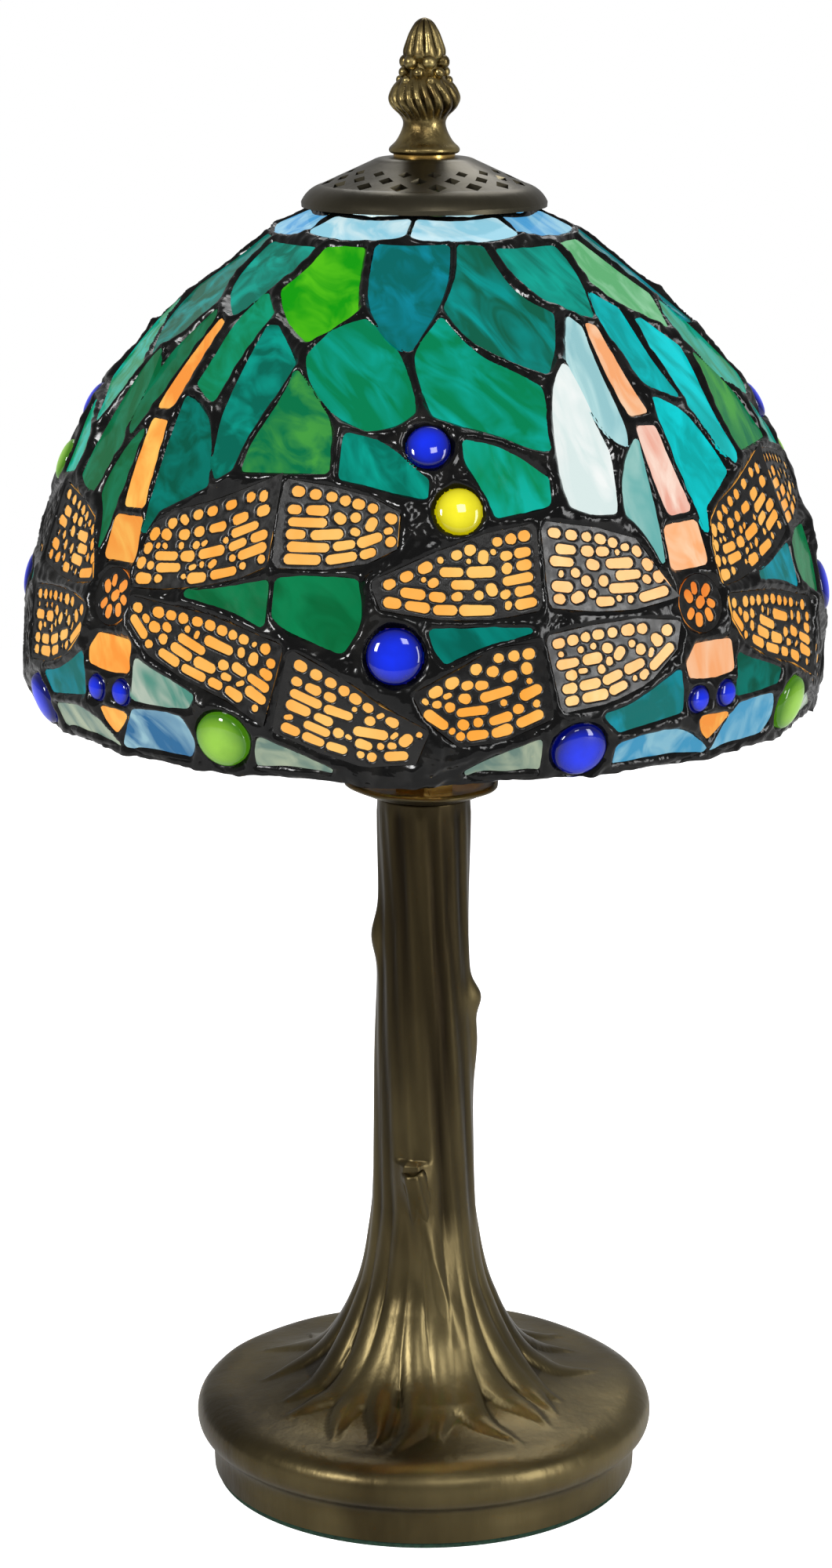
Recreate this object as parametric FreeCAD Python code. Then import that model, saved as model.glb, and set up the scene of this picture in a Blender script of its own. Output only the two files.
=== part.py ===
"""Leaded glass dragonfly table lamp: a cast tree-trunk base, a lampholder with bulb inside a wire
harp, a domed shade of flat glass pieces in a solder matrix, and a screw-on finial.

Frame: origin on the table plane at the centre of the base, +Z up the lamp, front towards -Y.
Units are millimetres and degrees. One STEP file is written per named piece."""

import FreeCAD
import Part
import math
import os
from FreeCAD import Vector

os.makedirs("parts", exist_ok=True)

# ------------------------------------------------------------------ driving dimensions
FIT = 0.05                 # clearance between a piece and the one it sits in
WING_FIT = 0.2             # the same round the long wing glasses
FELT_T = 1.5
FOOT_R = 54.4              # foot band of the base
BEAD_R = 58.5              # widest bead of the base
BASE_TOP_Z = 22.4          # where the bead turns into the top face
TRUNK_TOP_Z = 178.0
CASTING_SPLIT_Z = 26.0     # the one casting is stored as two solids that meet here
TRUNK_BORE_R = 8.5
TUBE_R = 5.0               # M10 x 1 lamp tube
TUBE_BORE_R = 3.6
TUBE_TOP_Z = 194.0
PLATE_Z = 6.4              # underside of the steel plate in the base
INLET_Z = 15.8             # height of the cord inlet at the back
INLET_R = 3.2
COLLAR_R = 19.3
COLLAR_Z = 178.05
HARP_X = 34.0              # half width of the harp, to the wire's centre
HARP_WIRE_R = 2.0
HARP_TOP_Z = 318.0
STUD_R = 3.0               # M6 stud that the finial screws onto
THREAD_PITCH = 1.0
SHOULDER_Z = 332.4         # top of the harp hub, where the shade rests
CAP_R = 29.5               # vented cap
CAP_TOP_Z = 334.9
CAP_RIM_Z = 323.3
CAP_T = 1.1
FIRST_VENT = 7.4           # degrees from the front to a column of vents
FINIAL_Z = 335.7
FINIAL_TOP_Z = 367.7
SOCKET_Z = 187.0
SOCKET_R = 14.0
BULB_R = 22.5              # golf-ball bulb
BULB_CENTRE_Z = 262.0
BULB_CAP_R = 6.85          # E14 screw cap
GLASS_T = 2.8
MATRIX_T = 4.4             # solder matrix, from outer bead to inner bead
MATRIX_LOW, MATRIX_HIGH = 1.2, 150.4     # its edges, along the outer face from the rim
RIM_WIRE_R = 1.1
SHADE_PERIOD = 90.0        # the pattern repeats four times round the shade
PERIODS = 4
WIDEST_EDGE = 4.0          # degrees spanned by one straight edge of a glass piece

# Outer face of the shade, (radius, height) from the rim to under the cap.
DOME = [(94.2, 203.0), (96.9, 208.0), (98.7, 215.0), (98.8, 222.5), (97.6, 232.0), (94.7, 243.5),
        (90.7, 256.0), (85.6, 268.0), (78.9, 280.0), (69.6, 291.7), (59.0, 302.0), (46.7, 312.0),
        (35.3, 319.6), (26.4, 323.9)]

# ------------------------------------------------------------------ the pattern of the shade
# Outlines of what shows between the solder lines: angle round the shade in degrees from the front,
# and distance up the outer face from the rim in millimetres. One period of the four is given.
TOP_BAND = [
    [(-4.5, 141), (8, 139.9), (24, 140), (37.5, 141), (36, 149), (16, 149), (-3, 149)],
    [(-50, 141.5), (-38, 140.8), (-20, 140.5), (-8.5, 141), (-7.5, 149), (-28, 149), (-48, 149)],
]
UPPER_LEAVES = [
    [(25, 135.5), (37, 136), (49.5, 135.5), (48.5, 128), (45, 119.5), (41.2, 111.8), (36, 115.5),
     (31, 119.5), (27, 126)],
    [(-16.5, 137.5), (-5, 137.8), (8, 137.5), (6.2, 127), (3.5, 119), (0.3, 112), (-3.2, 103.5),
     (-8, 108.5), (-13.2, 117), (-15.3, 127)],
    [(12, 137), (19.8, 136.7), (21.5, 130), (22.9, 124), (26.5, 118), (30.7, 113.8), (29, 109),
     (26.4, 102.6), (23.4, 96.6), (19, 99.8), (13.5, 104), (8.8, 108.6), (5, 116.8), (7.6, 122.6),
     (10.2, 129)],
]
LIME_LEAVES = [
    [(-35.2, 135.8), (-28, 136.6), (-21.5, 136.3), (-19.8, 129), (-18, 121), (-16.4, 115.6),
     (-20.5, 110.9), (-25, 105.8), (-31, 110.8), (-36, 116.2), (-39.6, 121), (-36, 129.5)],
]
MIDDLE_LEAVES = [
    [(-23.6, 101.4), (-21.5, 106.8), (-18.5, 110.4), (-13.6, 112.6), (-10, 109.4), (-6, 104.5),
     (-3.6, 97.6), (-2.1, 90), (-2, 86.8), (-5, 83.6), (-9.6, 82.5), (-14.5, 85.6), (-19, 91),
     (-22, 96)],
    [(3.8, 112.6), (1.3, 109), (-1.5, 103.2), (-1.4, 99), (0.4, 91), (1.6, 86.6), (6, 84.5),
     (12, 82), (17.5, 77.2), (19.7, 76.8), (20, 83), (21.2, 89.5), (21.2, 92.8), (17.2, 97.5),
     (12, 101.2), (7.8, 106.4)],
    [(-43.5, 118.8), (-38, 113.4), (-39, 106), (-40, 98), (-39.6, 87.2), (-42.5, 89), (-45.7, 91.6),
     (-46, 100), (-46.9, 111)],
    [(-36, 108.6), (-33.8, 108.8), (-30, 104.6), (-26.4, 99.6), (-27.5, 93.5), (-29.5, 87),
     (-31, 78), (-31.3, 70.8), (-33.2, 68.6), (-34.6, 71.6), (-35.6, 77), (-36.9, 84), (-37, 92),
     (-36.8, 101)],
]
LOWER_LEAVES = [
    [(-46.2, 87), (-44, 86.4), (-39.8, 82.8), (-38, 78.5), (-36.1, 72.5), (-35.2, 67), (-39.5, 63.4),
     (-43.4, 60), (-44.8, 54), (-45.5, 62), (-46.2, 75)],
    [(-24.6, 96.4), (-22, 93), (-18.5, 88), (-16, 83.4), (-15.6, 77), (-15.2, 72), (-20, 72),
     (-26, 71.6), (-29.2, 71.2), (-28.9, 78), (-27, 85), (-25.5, 91)],
    [(-13, 81), (-9, 80.2), (-5, 77.4), (-2.6, 73.6), (0.2, 70.2), (0.1, 66.4), (-4, 67.8),
     (-9, 69.8), (-13, 70.8)],
    [(6.4, 79.4), (11, 78.2), (15, 75), (18.9, 69.8), (18.6, 64.2), (14, 63), (10.6, 62),
     (9.8, 66), (8, 71.4), (6.4, 75)],
]
FLANK_PANELS = [
    [(27, 97.6), (28.5, 91), (29.5, 83), (30.8, 75.5), (30.2, 70), (29.7, 65), (29, 61.2),
     (25, 61.6), (22.2, 63.6), (21.6, 70), (22, 79), (23, 88), (24.6, 94)],
    [(34, 111.6), (36, 108.8), (35.3, 103), (35, 95), (35.1, 87), (34.9, 80.4), (33.8, 76.5),
     (32.2, 78), (31.2, 82), (29.9, 88), (28.5, 97.2), (31, 105)],
    [(36.4, 77.4), (34.4, 74.6), (32.6, 70), (31.5, 65), (31.4, 60.6), (33.4, 57.4), (35, 52),
     (35.6, 48.6), (36.1, 56), (36.3, 66)],
]
WING_GAPS = [
    [(-35, 41.4), (-30, 43), (-25, 45), (-22.4, 45.9), (-22.4, 36.2), (-25.5, 38.4), (-29, 40)],
    [(-20.8, 46.5), (-16, 47.6), (-9.6, 47.2), (-8.9, 42), (-8.9, 37.5), (-11, 31.4), (-14.5, 33.4),
     (-19.2, 36.2), (-20.8, 38.6)],
    [(0.8, 36.2), (8, 36.4), (14.4, 35.8), (9.5, 34.2), (5.2, 31.6), (2.8, 29.4), (1.5, 32)],
]
SKIRT_TEAL = [
    [(-42.5, 24.8), (-39.5, 22.6), (-35, 20.2), (-32.4, 18.4), (-33.2, 16), (-38, 15.4), (-42.9, 15.7)],
    [(24.4, 15.4), (27.4, 16.2), (31, 18.8), (36, 23.6), (36.5, 18.4), (36.4, 14.2), (31, 12.6),
     (26.6, 11.6)],
]
SKIRT_BLUE = [
    [(-43, 12.4), (-38, 13.1), (-34.4, 12.8), (-33.2, 9), (-33.2, 5.5), (-34.2, 3), (-40, 2.6),
     (-46.5, 2.4), (-45.3, 6)],
    [(-22.3, 10), (-19.6, 7.8), (-15.6, 4.8), (-12.6, 2.4), (-17, 2.3), (-23.2, 2.4), (-23.2, 6)],
    [(5.4, 2.4), (10, 2.3), (15.4, 2.4), (15.3, 10.4), (12.9, 8.6), (8.8, 5.6)],
    [(26.8, 7.6), (31, 8.8), (36, 9.3), (38.6, 7.4), (42.6, 2.4), (36, 2.3), (26.8, 2.4)],
]
TAIL = [
    [(38.2, 109.3), (40, 108.4), (40.2, 100), (40.5, 90), (41.1, 84.6), (37.3, 84.2), (36.9, 92),
     (37.3, 103)],
    [(37.7, 80.4), (41.4, 80.1), (42, 71), (43.2, 60), (38.9, 59.6), (37.9, 70)],
    [(37.5, 56.4), (43.7, 56.8), (44.1, 47.2), (37.3, 47)],
]
SHOULDER = [[(37.7, 25), (39.4, 28.8), (46, 28.6), (46.2, 21.9), (42, 21.2), (38, 22.1)]]
NOSE = [[(40.2, 11.4), (45.4, 11.2), (43.9, 8.2), (42.4, 6), (41, 8)]]
THORAX_CENTRE, THORAX_R = (41.2, 38.2), 6.0

# Wings, each as a lower and an upper edge from root to tip, with its number of filigree rows.
UPPER_WINGS = [
    ([(-44, 42), (-40, 42.5), (-33, 44.4), (-27, 47), (-22.8, 50)],
     [(-44.5, 46), (-43.2, 55.6), (-39.6, 59.6), (-33, 63), (-22.8, 69.4)], 7),
    ([(-21.2, 50), (-14, 50.3), (-8, 52), (-4.2, 55)],
     [(-21.2, 68.9), (-14, 67.8), (-8, 65.6), (-4, 62.2)], 6),
    ([(36.2, 41), (30, 39.6), (24, 40), (17.4, 41.4)],
     [(35.2, 44.6), (31.6, 54), (25.5, 57.4), (17.4, 59.4)], 7),
    ([(15.6, 41), (9, 39.4), (2, 39.6), (-5.6, 41.4)],
     [(15.6, 59), (8.5, 57.2), (1.5, 53.2), (-6.8, 46.8)], 6),
]
LOWER_WINGS = [
    ([(-43.6, 33.6), (-40.5, 27.6), (-34, 22.8), (-27, 19.2), (-21.6, 14.6)],
     [(-43.8, 38.4), (-38, 37.8), (-31, 36.8), (-25, 34.2), (-19.4, 31.4)], 6),
    ([(-20, 12.6), (-14, 8), (-8, 5), (-1.5, 6.6)],
     [(-17.6, 30.4), (-11, 24.6), (-5.8, 18.4), (0, 13.4)], 6),
    ([(35.4, 29), (31, 22.6), (25, 19), (18.4, 17.8)],
     [(36, 34.4), (30, 36), (23, 35.4), (16.6, 33.8)], 6),
    ([(16.6, 16.4), (10, 11.4), (4.5, 10.6), (0, 17)],
     [(15, 32.4), (9, 31.4), (5, 27.4), (-1, 22)], 6),
]
# Domed jewels: angle, distance up from the rim, radius.
COBALT = [(0.5, 78.4, 4.8), (-4, 30.6, 6.2), (21, 8.2, 5.8)]
LIME_JEWEL = [(-28, 8.8, 6.4)]
UPPER_JEWEL = (5.0, 63.2, 5.1)       # yellow on two opposite sides of the shade, green between
EYES = [(39.5, 16.2, 2.8), (44.8, 16.4, 2.8)]


# ------------------------------------------------------------------ general helpers
def polar(angle, r, z):
    """The point at that angle from the front (-Y), positive towards +X."""
    a = math.radians(angle)
    return Vector(r * math.sin(a), -r * math.cos(a), z)


def turned(profile):
    """A solid of revolution about Z. Each item of the closed profile is an end point (r, z), an arc
    (middle, end), or ("spline", [points]) through those points."""
    edges = []
    here = profile[0]
    for item in profile[1:] + [profile[0]]:
        if item[0] == "spline":
            curve = Part.BSplineCurve()
            curve.interpolate([Vector(r, 0, z) for r, z in [here] + item[1]])
            edges.append(curve.toShape())
            here = item[1][-1]
            continue
        start = Vector(here[0], 0, here[1])
        if isinstance(item[0], tuple):
            middle, here = item
            arc = Part.Arc(start, Vector(middle[0], 0, middle[1]), Vector(here[0], 0, here[1]))
            edges.append(arc.toShape())
        elif math.dist(here, item) > 1e-6:
            here = item
            edges.append(Part.makeLine(start, Vector(here[0], 0, here[1])))
    return Part.Face(Part.Wire(edges)).revolve(Vector(0, 0, 0), Vector(0, 0, 1), 360)


def ring(inner, outer, z0, z1):
    return turned([(inner, z0), (outer, z0), (outer, z1), (inner, z1)])


def disc(r, z0, z1):
    return Part.makeCylinder(r, z1 - z0, Vector(0, 0, z0))


def hex_nut(across_flats, z0, z1, hole_r):
    corner = across_flats / math.sqrt(3)
    points = [polar(60 * i, corner, z0) for i in range(7)]
    nut = Part.Face(Part.makePolygon(points)).extrude(Vector(0, 0, z1 - z0))
    return nut.cut(disc(hole_r, z0 - 1, z1 + 1))


def save(name, solids):
    """Writes one node: a solid, or a group of separate solids."""
    solids = solids if isinstance(solids, list) else [solids]
    single = []
    for shape in solids:
        single += shape.Solids
    bad = [s for s in single if not s.isValid() or s.Volume <= 0]
    shape = single[0] if len(single) == 1 else Part.makeCompound(single)
    shape.exportStep(f"parts/{name}.step")
    print(f"{name}: {len(single)} solid(s), {shape.Volume / 1000:.2f} cm3", "BAD" if bad else "")


# ------------------------------------------------------------------ base
def root_fin(angle, reach, width):
    """One root: a fin that follows the flare of the trunk down to a point on the base."""
    crest = [(11.6, 72), (15.4, 56), (19.4, 45.5), (24, 37.5), (30, 31.2), (37, 27), (reach + 2, 22.2)]
    inside = [(reach - 3, 20), (22, 22), (15, 34), (11.2, 52), (10.6, 72)]
    outline = [Vector(r, 0, z) for r, z in crest + inside + crest[:1]]
    fin = Part.Face(Part.makePolygon(outline)).extrude(Vector(0, width, 0))
    fin.translate(Vector(0, -width / 2, 0))
    fin.rotate(Vector(0, 0, 0), Vector(0, 0, 1), angle - 90)
    return fin


def trunk_base():
    """The hollow casting: foot band, bead, top face, roots, trunk, knots and a cut branch."""
    body = turned([
        (0, FELT_T), (FOOT_R, FELT_T), (FOOT_R, 8.4), (55.4, 9.6),
        ((BEAD_R, 16.0), (54.6, BASE_TOP_Z)),
        (46, 23.4), (36, 25.0), (27, 29.6), (21, 37.2), (17.4, 44), (14.7, 52.5), (13.2, 62), (12.5, 76),
        (12.1, 100), (11.3, 150), (11.6, TRUNK_TOP_Z), (0, TRUNK_TOP_Z)])
    roots = [(-158, 44, 3.2), (-132, 47, 3.6), (-108, 43, 3.0), (-86, 41, 3.0), (-64, 42, 3.4),
             (-44, 46, 3.2), (-29, 48, 3.6), (-17, 46, 3.0), (-5, 50, 3.6), (14, 49, 3.2),
             (28, 49, 3.4), (43, 46, 3.0), (64, 41, 3.2), (88, 45, 3.2), (112, 44, 3.0),
             (136, 48, 3.6), (160, 45, 3.2), (178, 43, 3.0)]
    for angle, reach, width in roots:
        body = body.fuse(root_fin(angle, reach, width))
    branch_foot, branch_tip = Vector(2.4, -8.5, 60), Vector(-2.8, -18.2, 83.5)
    branch = Part.makeCone(5.0, 3.0, (branch_tip - branch_foot).Length, branch_foot,
                           branch_tip - branch_foot)
    right_knot = Part.makeCone(1.2, 3.6, 26, Vector(8.4, -1, 101), Vector(0.05, 0, 1))
    left_knot = Part.makeSphere(4.6, Vector(-8.1, 0, 142))
    for knot in (branch, right_knot, left_knot):
        body = body.fuse(knot)
    cavity = turned([
        (0, 0), (51.4, 0), (51.4, PLATE_Z + 1.7), (49.2, PLATE_Z + 1.7), (49.2, 18.6), (30, 21.2),
        (20.5, 31), (14.6, 42), (10.8, 54), (9.4, 64), (TRUNK_BORE_R, 76), (TRUNK_BORE_R, 172), (0, 172)])
    body = body.cut(cavity).cut(disc(TUBE_R + 0.15, 170, 180))
    inlet = Part.makeCylinder(INLET_R + 1.5, 30, Vector(0, 40, INLET_Z), Vector(0, 1, 0))
    return body.cut(inlet).removeSplitter()


def split_casting(casting):
    """The casting as two solids, foot and trunk, so that the trunk has no part in the inlet's bore."""
    width = 2 * BEAD_R + 10
    foot_room = Part.makeBox(width, width, CASTING_SPLIT_Z, Vector(-width / 2, -width / 2, 0))
    return [casting.common(foot_room), casting.cut(foot_room)]


def cord_grommet():
    """Flanged bush in the back of the base: the inlet for the supply cord."""
    def sleeve(r, y0, y1):
        return Part.makeCylinder(r, y1 - y0, Vector(0, y0, INLET_Z), Vector(0, 1, 0))
    bush = sleeve(INLET_R + 1.5 - FIT, 46.6, 60.2).fuse(sleeve(INLET_R + 3.0, 58.8, 60.2))
    return bush.cut(sleeve(INLET_R, 40, 70))


def base_pieces():
    save("felt_pad", disc(53.4, 0, FELT_T))
    save("tree_trunk_base", split_casting(trunk_base()))
    save("bottom_plate", ring(TUBE_R + 0.2, 51.2, PLATE_Z, PLATE_Z + 1.6))
    save("base_weight", ring(16, 45.5, PLATE_Z + 1.65, PLATE_Z + 5.6))
    save("bottom_washer", ring(TUBE_R + 0.15, 9.5, PLATE_Z - 0.85, PLATE_Z - FIT))
    save("bottom_lock_nut", hex_nut(14, 2.5, PLATE_Z - 0.9, TUBE_R + FIT))
    save("threaded_tube", ring(TUBE_BORE_R, TUBE_R, 2.2, TUBE_TOP_Z))
    save("cord_grommet", cord_grommet())
    top = COLLAR_Z + 3.6
    save("collar_dish", turned([
        (TUBE_R + 0.15, COLLAR_Z), (12, COLLAR_Z), ((16, COLLAR_Z + 0.9), (COLLAR_R, COLLAR_Z + 2.6)),
        ((COLLAR_R + 0.5, COLLAR_Z + 3.2), (COLLAR_R, top)), (COLLAR_R - 1.4, top),
        ((15, COLLAR_Z + 2.1), (11.4, COLLAR_Z + 1.5)), (TUBE_R + 0.15, COLLAR_Z + 1.5)]))
    save("collar_nut", hex_nut(14, COLLAR_Z + 1.55, COLLAR_Z + 4.55, TUBE_R + FIT))


# ------------------------------------------------------------------ harp and lampholder
SADDLE_Z = COLLAR_Z + 4.6


def wire_path():
    """Centre line of the harp's wire: up each side, and over the bulb in one long arc."""
    foot_z, side_z, bow_z = SADDLE_Z + 5.5, 214.0, 284.0
    left, right = -1, 1

    def rise(side):
        low = Vector(side * 22.3, 0, foot_z)
        high = Vector(side * HARP_X, 0, side_z)
        bend = Part.Arc(low, Vector(side * 31.0, 0, foot_z + 9.5), high)
        return bend.toShape(), Part.makeLine(high, Vector(side * HARP_X, 0, bow_z))

    bow = Part.Arc(Vector(left * HARP_X, 0, bow_z), Vector(0, 0, HARP_TOP_Z),
                   Vector(right * HARP_X, 0, bow_z))
    up_left, side_left = rise(left)
    up_right, side_right = rise(right)
    return Part.Wire([up_left, side_left, bow.toShape(), side_right, up_right])


def harp_wire():
    path = wire_path()
    start = path.Edges[0]
    at = start.valueAt(start.FirstParameter)
    if at.z > 250:
        at = start.valueAt(start.LastParameter)
    section = Part.Wire(Part.makeCircle(HARP_WIRE_R, Vector(-22.3, 0, SADDLE_Z + 5.5), Vector(-1, 0, 0.55)))
    return path.makePipeShell([section], True, True)


def harp_saddle():
    """Stamped strip clamped under the lampholder, with an ear bent up at each end."""
    half = 17.2
    strip = Part.makeBox(2 * half, 9, 1.6, Vector(-half, -4.5, SADDLE_Z))
    strip = strip.fuse(Part.makeCylinder(9, 1.6, Vector(0, 0, SADDLE_Z)))
    for side in (-1, 1):
        ear = Part.makeBox(1.6, 9, 10, Vector(side * half - 0.8, -4.5, SADDLE_Z))
        strip = strip.fuse(ear)
    bores = disc(TUBE_R + 0.15, SADDLE_Z - 1, SADDLE_Z + 3)
    for side in (-1, 1):
        bores = bores.fuse(Part.makeCylinder(1.3, 6, Vector(side * half - 3, 0, SADDLE_Z + 5.5), Vector(1, 0, 0)))
    return strip.cut(bores).removeSplitter()


def harp_ends():
    """The ferrules that end the wire, riveted through the saddle's ears."""
    made = []
    for side in (-1, 1):
        out = Vector(side, 0, 0)
        block = Part.makeCylinder(3.2, 3.0, Vector(side * 18.1, 0, SADDLE_Z + 5.5), out)
        rivet = Part.makeCylinder(1.25, 2.6, Vector(side * 15.6, 0, SADDLE_Z + 5.5), out)
        head = Part.makeCylinder(2.3, 0.9, Vector(side * 15.3, 0, SADDLE_Z + 5.5), out)
        made.append(block.fuse(rivet).fuse(head).removeSplitter())
    return made


def harp_pieces():
    save("harp_saddle", harp_saddle())
    save("harp_ferrules", harp_ends())
    hub = turned([(0, HARP_TOP_Z + 1.4), (5.2, HARP_TOP_Z + 1.4), (5.2, 324), (4.2, 326), (4.2, 329.6),
                  (7.8, 331.0), (7.8, SHOULDER_Z), (0, SHOULDER_Z)])
    wire = harp_wire()
    hub = hub.fuse(disc(5.2, HARP_TOP_Z - 3.6, HARP_TOP_Z + 1.6)).removeSplitter()
    save("harp_wire", wire)
    save("harp_hub", hub.cut(wire).cut(disc(STUD_R + FIT, 326, 340)))
    save("harp_stud", turned([(0, 326.1), (STUD_R, 326.1), (STUD_R, 345.4), (STUD_R - 0.8, 346.2),
                              (0, 346.2)]))


def socket_pieces():
    """E14 lampholder on the tube: cap, two-part case, threaded shell, contact and terminals."""
    z = SOCKET_Z
    save("socket_cap", turned([
        (TUBE_R + FIT, z - 2.6), (7.6, z - 2.6), (7.6, z), (11, z), ((13.4, z + 1.4), (SOCKET_R, z + 5)),
        (SOCKET_R, z + 12), (SOCKET_R - 1.2, z + 12), (SOCKET_R - 1.2, z + 5.2),
        ((12, z + 2.4), (10.6, z + 1.6)), (TUBE_R + FIT, z + 1.6)]))
    save("socket_lock_nut", hex_nut(13, z + 1.65, z + 4.4, TUBE_R + FIT))
    top = z + 40
    save("socket_case", turned([
        (SOCKET_R - 1.2, z + 12.05), (SOCKET_R, z + 12.05), (SOCKET_R, z + 14), (SOCKET_R - 0.6, z + 15),
        (SOCKET_R - 1.2, top - 4), ((12.6, top - 1.2), (11.4, top)), (9.6, top), (9.6, top - 1.6),
        (SOCKET_R - 2.6, top - 3), (SOCKET_R - 2.4, z + 14), (SOCKET_R - 2.4, z + 12.05)]))
    save("socket_core", turned([
        (0, z + 11.9), (11.4, z + 11.9), (11.4, z + 17.8), (9.5, z + 18.4), (9.5, z + 24), (8.7, z + 24),
        (8.7, z + 18.6), (4.6, z + 18.6), (4.6, z + 16.2), (0, z + 16.2)]))
    save("socket_thread_shell", turned([
        (7.55, z + 18.65), (8.6, z + 18.65), (8.6, z + 37.6), (7.55, z + 37.6)]))
    contact = Part.makeBox(8, 4, 0.6, Vector(-4, -2, z + 16.3))
    spring = Part.makeBox(3.0, 4, 1.8, Vector(-1.5, -2, z + 16.85))
    save("socket_contact", contact.fuse(spring).removeSplitter())
    screws = []
    for side in (-1, 1):
        shank = Part.makeCylinder(1.2, 5, Vector(side * 7.5, 0, z + 6.85), Vector(0, 0, 1))
        head = Part.makeCylinder(2.4, 1.6, Vector(side * 7.5, 0, z + 5.3), Vector(0, 0, 1))
        screws.append(shank.fuse(head).removeSplitter())
    save("socket_terminal_screws", screws)


def bulb_pieces():
    """Golf-ball bulb: screw cap, insulator, tip, glass globe, stem and filaments."""
    z = SOCKET_Z + 22.4
    r = BULB_CAP_R
    ribs = [(r, z)]
    for i in range(5):
        low = z + 1.4 + 2.82 * i
        ribs += [((r + 0.35, low + 0.7), (r, low + 1.4)), (r - 0.25, low + 2.1), (r, low + 2.82)]
    neck_z = z + 20
    save("bulb_screw_cap", turned(
        [(r - 0.7, z), (r, z)] + ribs[1:] + [(r + 0.3, neck_z - 3), (r + 1.6, neck_z), (r + 1.1, neck_z),
                                             (r - 0.2, neck_z - 3), (r - 0.7, z + 16)]))
    save("bulb_insulator", turned([
        (2.3, z - 2.4), (4.0, z - 2.4), (r - 0.75, z - FIT), (r - 0.75, z + 1.2), (2.3, z + 1.2)]))
    save("bulb_tip", turned([(0, z - 3.2), ((1.6, z - 2.9), (2.25, z - 2.4)), (2.25, z + 0.6), (0, z + 0.6)]))
    neck_r = r - 0.9
    save("bulb_globe", turned([
        (neck_r - 0.8, z + 6), (neck_r, z + 6), (neck_r, neck_z - 2), (neck_r + 1.4, neck_z + 1.4),
        ("spline", [(11.5, neck_z + 7), (18, BULB_CENTRE_Z - 15), (BULB_R, BULB_CENTRE_Z),
                    (16.0, BULB_CENTRE_Z + 15.9), (0, BULB_CENTRE_Z + BULB_R)]),
        (0, BULB_CENTRE_Z + BULB_R - 0.8),
        ("spline", [(15.4, BULB_CENTRE_Z + 15.3), (BULB_R - 0.8, BULB_CENTRE_Z),
                    (17.3, BULB_CENTRE_Z - 14.6), (10.8, neck_z + 7.4), (neck_r + 0.5, neck_z + 2)]),
        (neck_r - 0.8, neck_z - 1.4)]))
    save("bulb_stem", turned([
        (0, z + 7), (neck_r - 0.9, z + 7), (neck_r - 1.2, z + 9), ((2.6, z + 13), (1.6, z + 24)),
        (1.6, BULB_CENTRE_Z - 6), (0, BULB_CENTRE_Z - 5)]))
    rods = []
    for i in range(4):
        foot = polar(45 + 90 * i, 3.2, BULB_CENTRE_Z - 16)
        tip = polar(45 + 90 * i, 7.0, BULB_CENTRE_Z + 10)
        rods.append(Part.makeCylinder(0.7, (tip - foot).Length, foot, tip - foot))
    save("bulb_filaments", rods)


# ------------------------------------------------------------------ shade geometry
def dome_curve():
    curve = Part.BSplineCurve()
    curve.interpolate([Vector(r, 0, z) for r, z in DOME])
    return curve


CURVE = dome_curve()
CURVE_LENGTH = CURVE.length()


def dome_at(angle, s, depth=0.0):
    """The point s up the outer face at that angle, depth below the face, and the outward normal."""
    u = CURVE.parameterAtDistance(min(max(s, 0.0), CURVE_LENGTH))
    p = CURVE.value(u)
    t = CURVE.tangent(u)[0]
    nr, nz = t.z, -t.x
    normal = polar(angle, nr, nz)
    return polar(angle, p.x, p.z) - normal * depth, normal


def radius_at(s):
    p, normal = dome_at(0, s)
    return -p.y


def inset(outline, by):
    """The outline moved inward by that many millimetres (outward if negative)."""
    middle_s = sum(s for a, s in outline) / len(outline)
    scale = math.radians(1) * radius_at(middle_s)
    flat = [(a * scale, s) for a, s in outline]
    area = sum(p[0] * q[1] - q[0] * p[1] for p, q in zip(flat, flat[1:] + flat[:1]))
    turn = 1 if area > 0 else -1
    moved = []
    for before, here, after in zip(flat[-1:] + flat[:-1], flat, flat[1:] + flat[:1]):
        ways = []
        for p, q in ((before, here), (here, after)):
            length = math.dist(p, q)
            ways.append((-(q[1] - p[1]) / length * turn, (q[0] - p[0]) / length * turn))
        nx, ny = ways[0][0] + ways[1][0], ways[0][1] + ways[1][1]
        share = max(nx * nx + ny * ny, 0.6)
        moved.append(((here[0] + 2 * by * nx / share) / scale, here[1] + 2 * by * ny / share))
    return moved


class Facet:
    """The flat plane nearest an outline on the shade, halfway through the matrix."""

    def __init__(self, outline):
        corners = [dome_at(a, s, MATRIX_T / 2) for a, s in outline]
        points = [p for p, n in corners]
        self.centre = sum(points, Vector()) * (1 / len(points))
        total = Vector()
        for p, q in zip(points, points[1:] + points[:1]):
            total += (p - self.centre).cross(q - self.centre)
        outward = sum([n for p, n in corners], Vector())
        self.normal = (total if total.dot(outward) > 0 else total * -1).normalize()

    def point(self, angle, s, height):
        """Where the shade's own normal at (angle, s) meets the plane raised by height."""
        p, n = dome_at(angle, s, MATRIX_T / 2)
        return p + n * ((height - (p - self.centre).dot(self.normal)) / n.dot(self.normal))


def closed_solid(faces):
    return Part.Solid(Part.Shell(faces))


def triangle(a, b, c):
    return Part.Face(Part.makePolygon([a, b, c, a]))


def prism(low, high):
    """A solid between two flat outlines with the same number of corners."""
    faces = [Part.Face(Part.makePolygon(low + low[:1])), Part.Face(Part.makePolygon(high + high[:1]))]
    for i in range(len(low)):
        j = (i + 1) % len(low)
        faces += [triangle(low[i], low[j], high[j]), triangle(low[i], high[j], high[i])]
    return closed_solid(faces)


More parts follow.
